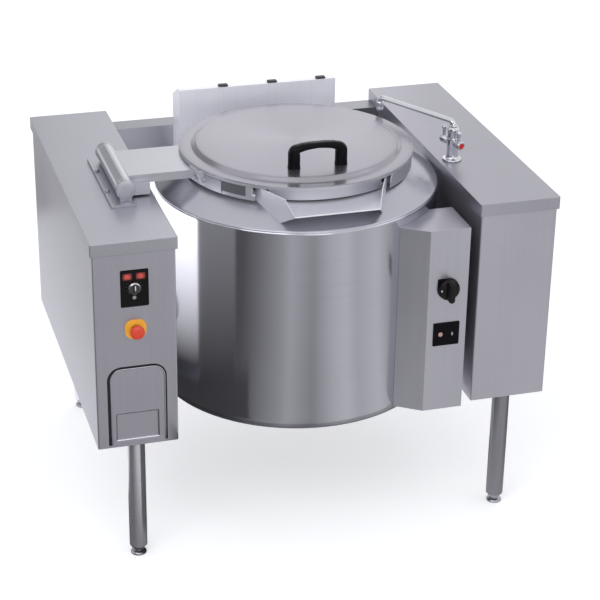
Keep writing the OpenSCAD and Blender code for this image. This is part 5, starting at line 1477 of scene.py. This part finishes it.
# Azimuth in degrees and grade of the screen
SCREEN_GRADES = [(196, 0.09), (217, 0.09), (228, 0.20), (246, 0.44), (252, 0.56), (268, 0.34),
                 (282, 0.68), (291, 0.80), (300, 0.64), (316, 0.80), (332, 0.47), (348, 0.22)]


def grey_screen():
    """A studio screen that only the steel sees: a flat mat that bends up into a wall, carried
    round the front of the object. The wall is tall at the left and falls to the right with
    the square of the sine of the way round. Its grades stand for the dim room in front of a
    studio."""
    turn = np.radians(np.linspace(190, 356, 84))
    radius, height = np.array([(0.36, 0.003), (1.4, 0.003), (2.2, 0.003), (2.9, 0.05), (3.2, 0.4),
                               (3.3, 1.2), (3.3, 2.0)]).T[..., None]
    way = np.clip((np.degrees(turn) - 235) / 40, 0, 1)
    tall = 1.3 - 0.8 * np.sin(way * math.pi / 2) ** 2
    points = np.stack(np.broadcast_arrays(radius * np.cos(turn), radius * np.sin(turn),
                                          height * np.where(height > 0.3, tall, 1)), 2)
    material, tree, glow = cloth("Screen_cloth")
    where = tree.nodes.new("ShaderNodeTexCoord")
    sweep = tree.nodes.new("ShaderNodeTexGradient")
    sweep.gradient_type = "RADIAL"
    tree.links.new(where.outputs["Object"], sweep.inputs["Vector"])
    tree.links.new(shade_between(tree, sweep.outputs["Fac"], [
        ((degrees - 180) / 360, (value,) * 3) for degrees, value in SCREEN_GRADES]),
        glow.inputs["Color"])
    steel_sees("Grey_screen", points, material)


# Where the cards beside the left pillar stand, and how far out the card behind the object
CARD_X = -0.4545
BACK_CARD_R = 3.4


def reflector(name, y_span, z_span, bright, dim):
    """A card beside the left pillar's inner side that the kettle's wall mirrors: bright at
    its upper edge and fading evenly to dim at its lower one."""
    y, z = np.meshgrid(np.linspace(*y_span, 3), np.linspace(*z_span, 3), indexing="ij")
    material, tree, glow = cloth(name + "_card")
    where = tree.nodes.new("ShaderNodeTexCoord")
    parts = tree.nodes.new("ShaderNodeSeparateXYZ")
    tree.links.new(where.outputs["Object"], parts.inputs["Vector"])
    rise = tree.nodes.new("ShaderNodeMapRange")
    for socket, value in zip(("From Min", "From Max", "To Min", "To Max"), (*z_span, dim, bright)):
        rise.inputs[socket].default_value = value
    tree.links.new(parts.outputs["Z"], rise.inputs["Value"])
    tree.links.new(rise.outputs["Result"], glow.inputs["Strength"])
    steel_sees(name, np.stack([CARD_X + 0 * y, y, z], 2), material)


def grey_card(name, points, grade):
    """A card of one even grade that the steel alone sees."""
    material, _, glow = cloth(name + "_cloth")
    glow.inputs["Strength"].default_value = grade
    steel_sees(name, points, material)


def back_card(name, span, z_span, grade):
    """A curved grey card behind the object: an arc of a circle about the middle, between two
    azimuths in degrees and two heights."""
    turn, z = np.meshgrid(np.radians(np.linspace(*span, 24)), np.linspace(*z_span, 3),
                          indexing="ij")
    grey_card(name, np.stack([BACK_CARD_R * np.cos(turn), BACK_CARD_R * np.sin(turn), z], 2),
              grade)


def floor_mat(name, x_span, y_span, grade):
    """A grey mat just above the floor."""
    x, y = np.meshgrid(np.linspace(*x_span, 3), np.linspace(*y_span, 3), indexing="ij")
    grey_card(name, np.stack([x, y, 0 * x + 0.004], 2), grade)


def set_up(name, data, across, up, back, at):
    """A lamp or the camera at a place, with its own three directions."""
    thing = bpy.data.objects.new(name, data)
    bpy.context.scene.collection.objects.link(thing)
    pose = np.eye(4)
    pose[:3] = np.column_stack([across, up, back, at])
    thing.matrix_world = Matrix(pose.tolist())
    return thing


def soft_lamp(name, at, towards, size, watts):
    """A soft box that looks from at towards a point."""
    light = bpy.data.lights.new(name, "AREA")
    light.shape = "RECTANGLE"
    light.size, light.size_y = size
    light.energy = watts
    out = np.asarray(at, float) - np.asarray(towards, float)
    out /= np.linalg.norm(out)
    side = np.cross([0, 0, 1], out)
    side /= np.linalg.norm(side)
    set_up(name, light, side, np.cross(out, side), out, at)


def photo_camera():
    """The photograph's view: yaw, pitch and roll turn the camera's own three directions."""
    yaw, pitch, roll = math.radians(16.66), math.radians(25.77), math.radians(0.89)
    out = np.array([math.sin(yaw) * math.cos(pitch), math.cos(yaw) * math.cos(pitch),
                    -math.sin(pitch)])
    right = np.array([math.cos(yaw), -math.sin(yaw), 0])
    up = np.cross(right, out)
    data = bpy.data.cameras.new("Camera")
    data.lens, data.sensor_width = 111.08, 36
    data.clip_end = 100
    bpy.context.scene.camera = set_up(
        "Camera", data, math.cos(roll) * right + math.sin(roll) * up,
        -math.sin(roll) * right + math.cos(roll) * up, -out,
        (-1.4695, -4.5959 + front_y, 3.1273))


studio_floor()
studio_world()
grey_screen()
reflector("Bright_reflector", (-0.285, 0.340), (0.47, 1.00), 3.0, 0.02)
reflector("Dim_reflector", (-0.495, -0.285), (0.42, 1.00), 0.38, 0.04)
reflector("Low_reflector", (-0.60, 0.50), (0.01, 0.42), 0.05, 0.05)
floor_mat("Side_mat", (-3.0, -1.10), (-0.3, 3.6), 0.61)
back_card("Left_card", (96, 150), (1.3, 4.2), 0.50)
floor_mat("Dark_mat", (-1.08, -0.60), (2.2, 3.5), 0.06)
soft_lamp("Key", (-2.2, -2.6, 3.4), (0, 0, 0.8), (2.4, 2.4), 34)
soft_lamp("Front", (-0.4, -4.2, 1.3), (0, 0, 0.9), (2.4, 1.2), 22)
soft_lamp("Fill", (3.0, -1.6, 2.8), (0, 0, 0.8), (2.0, 2.0), 6)
soft_lamp("Back", (1.0, 3.4, 2.6), (0, 0, 1.0), (1.2, 2.0), 2.6)
photo_camera()
bpy.context.scene.view_settings.view_transform = "Standard"
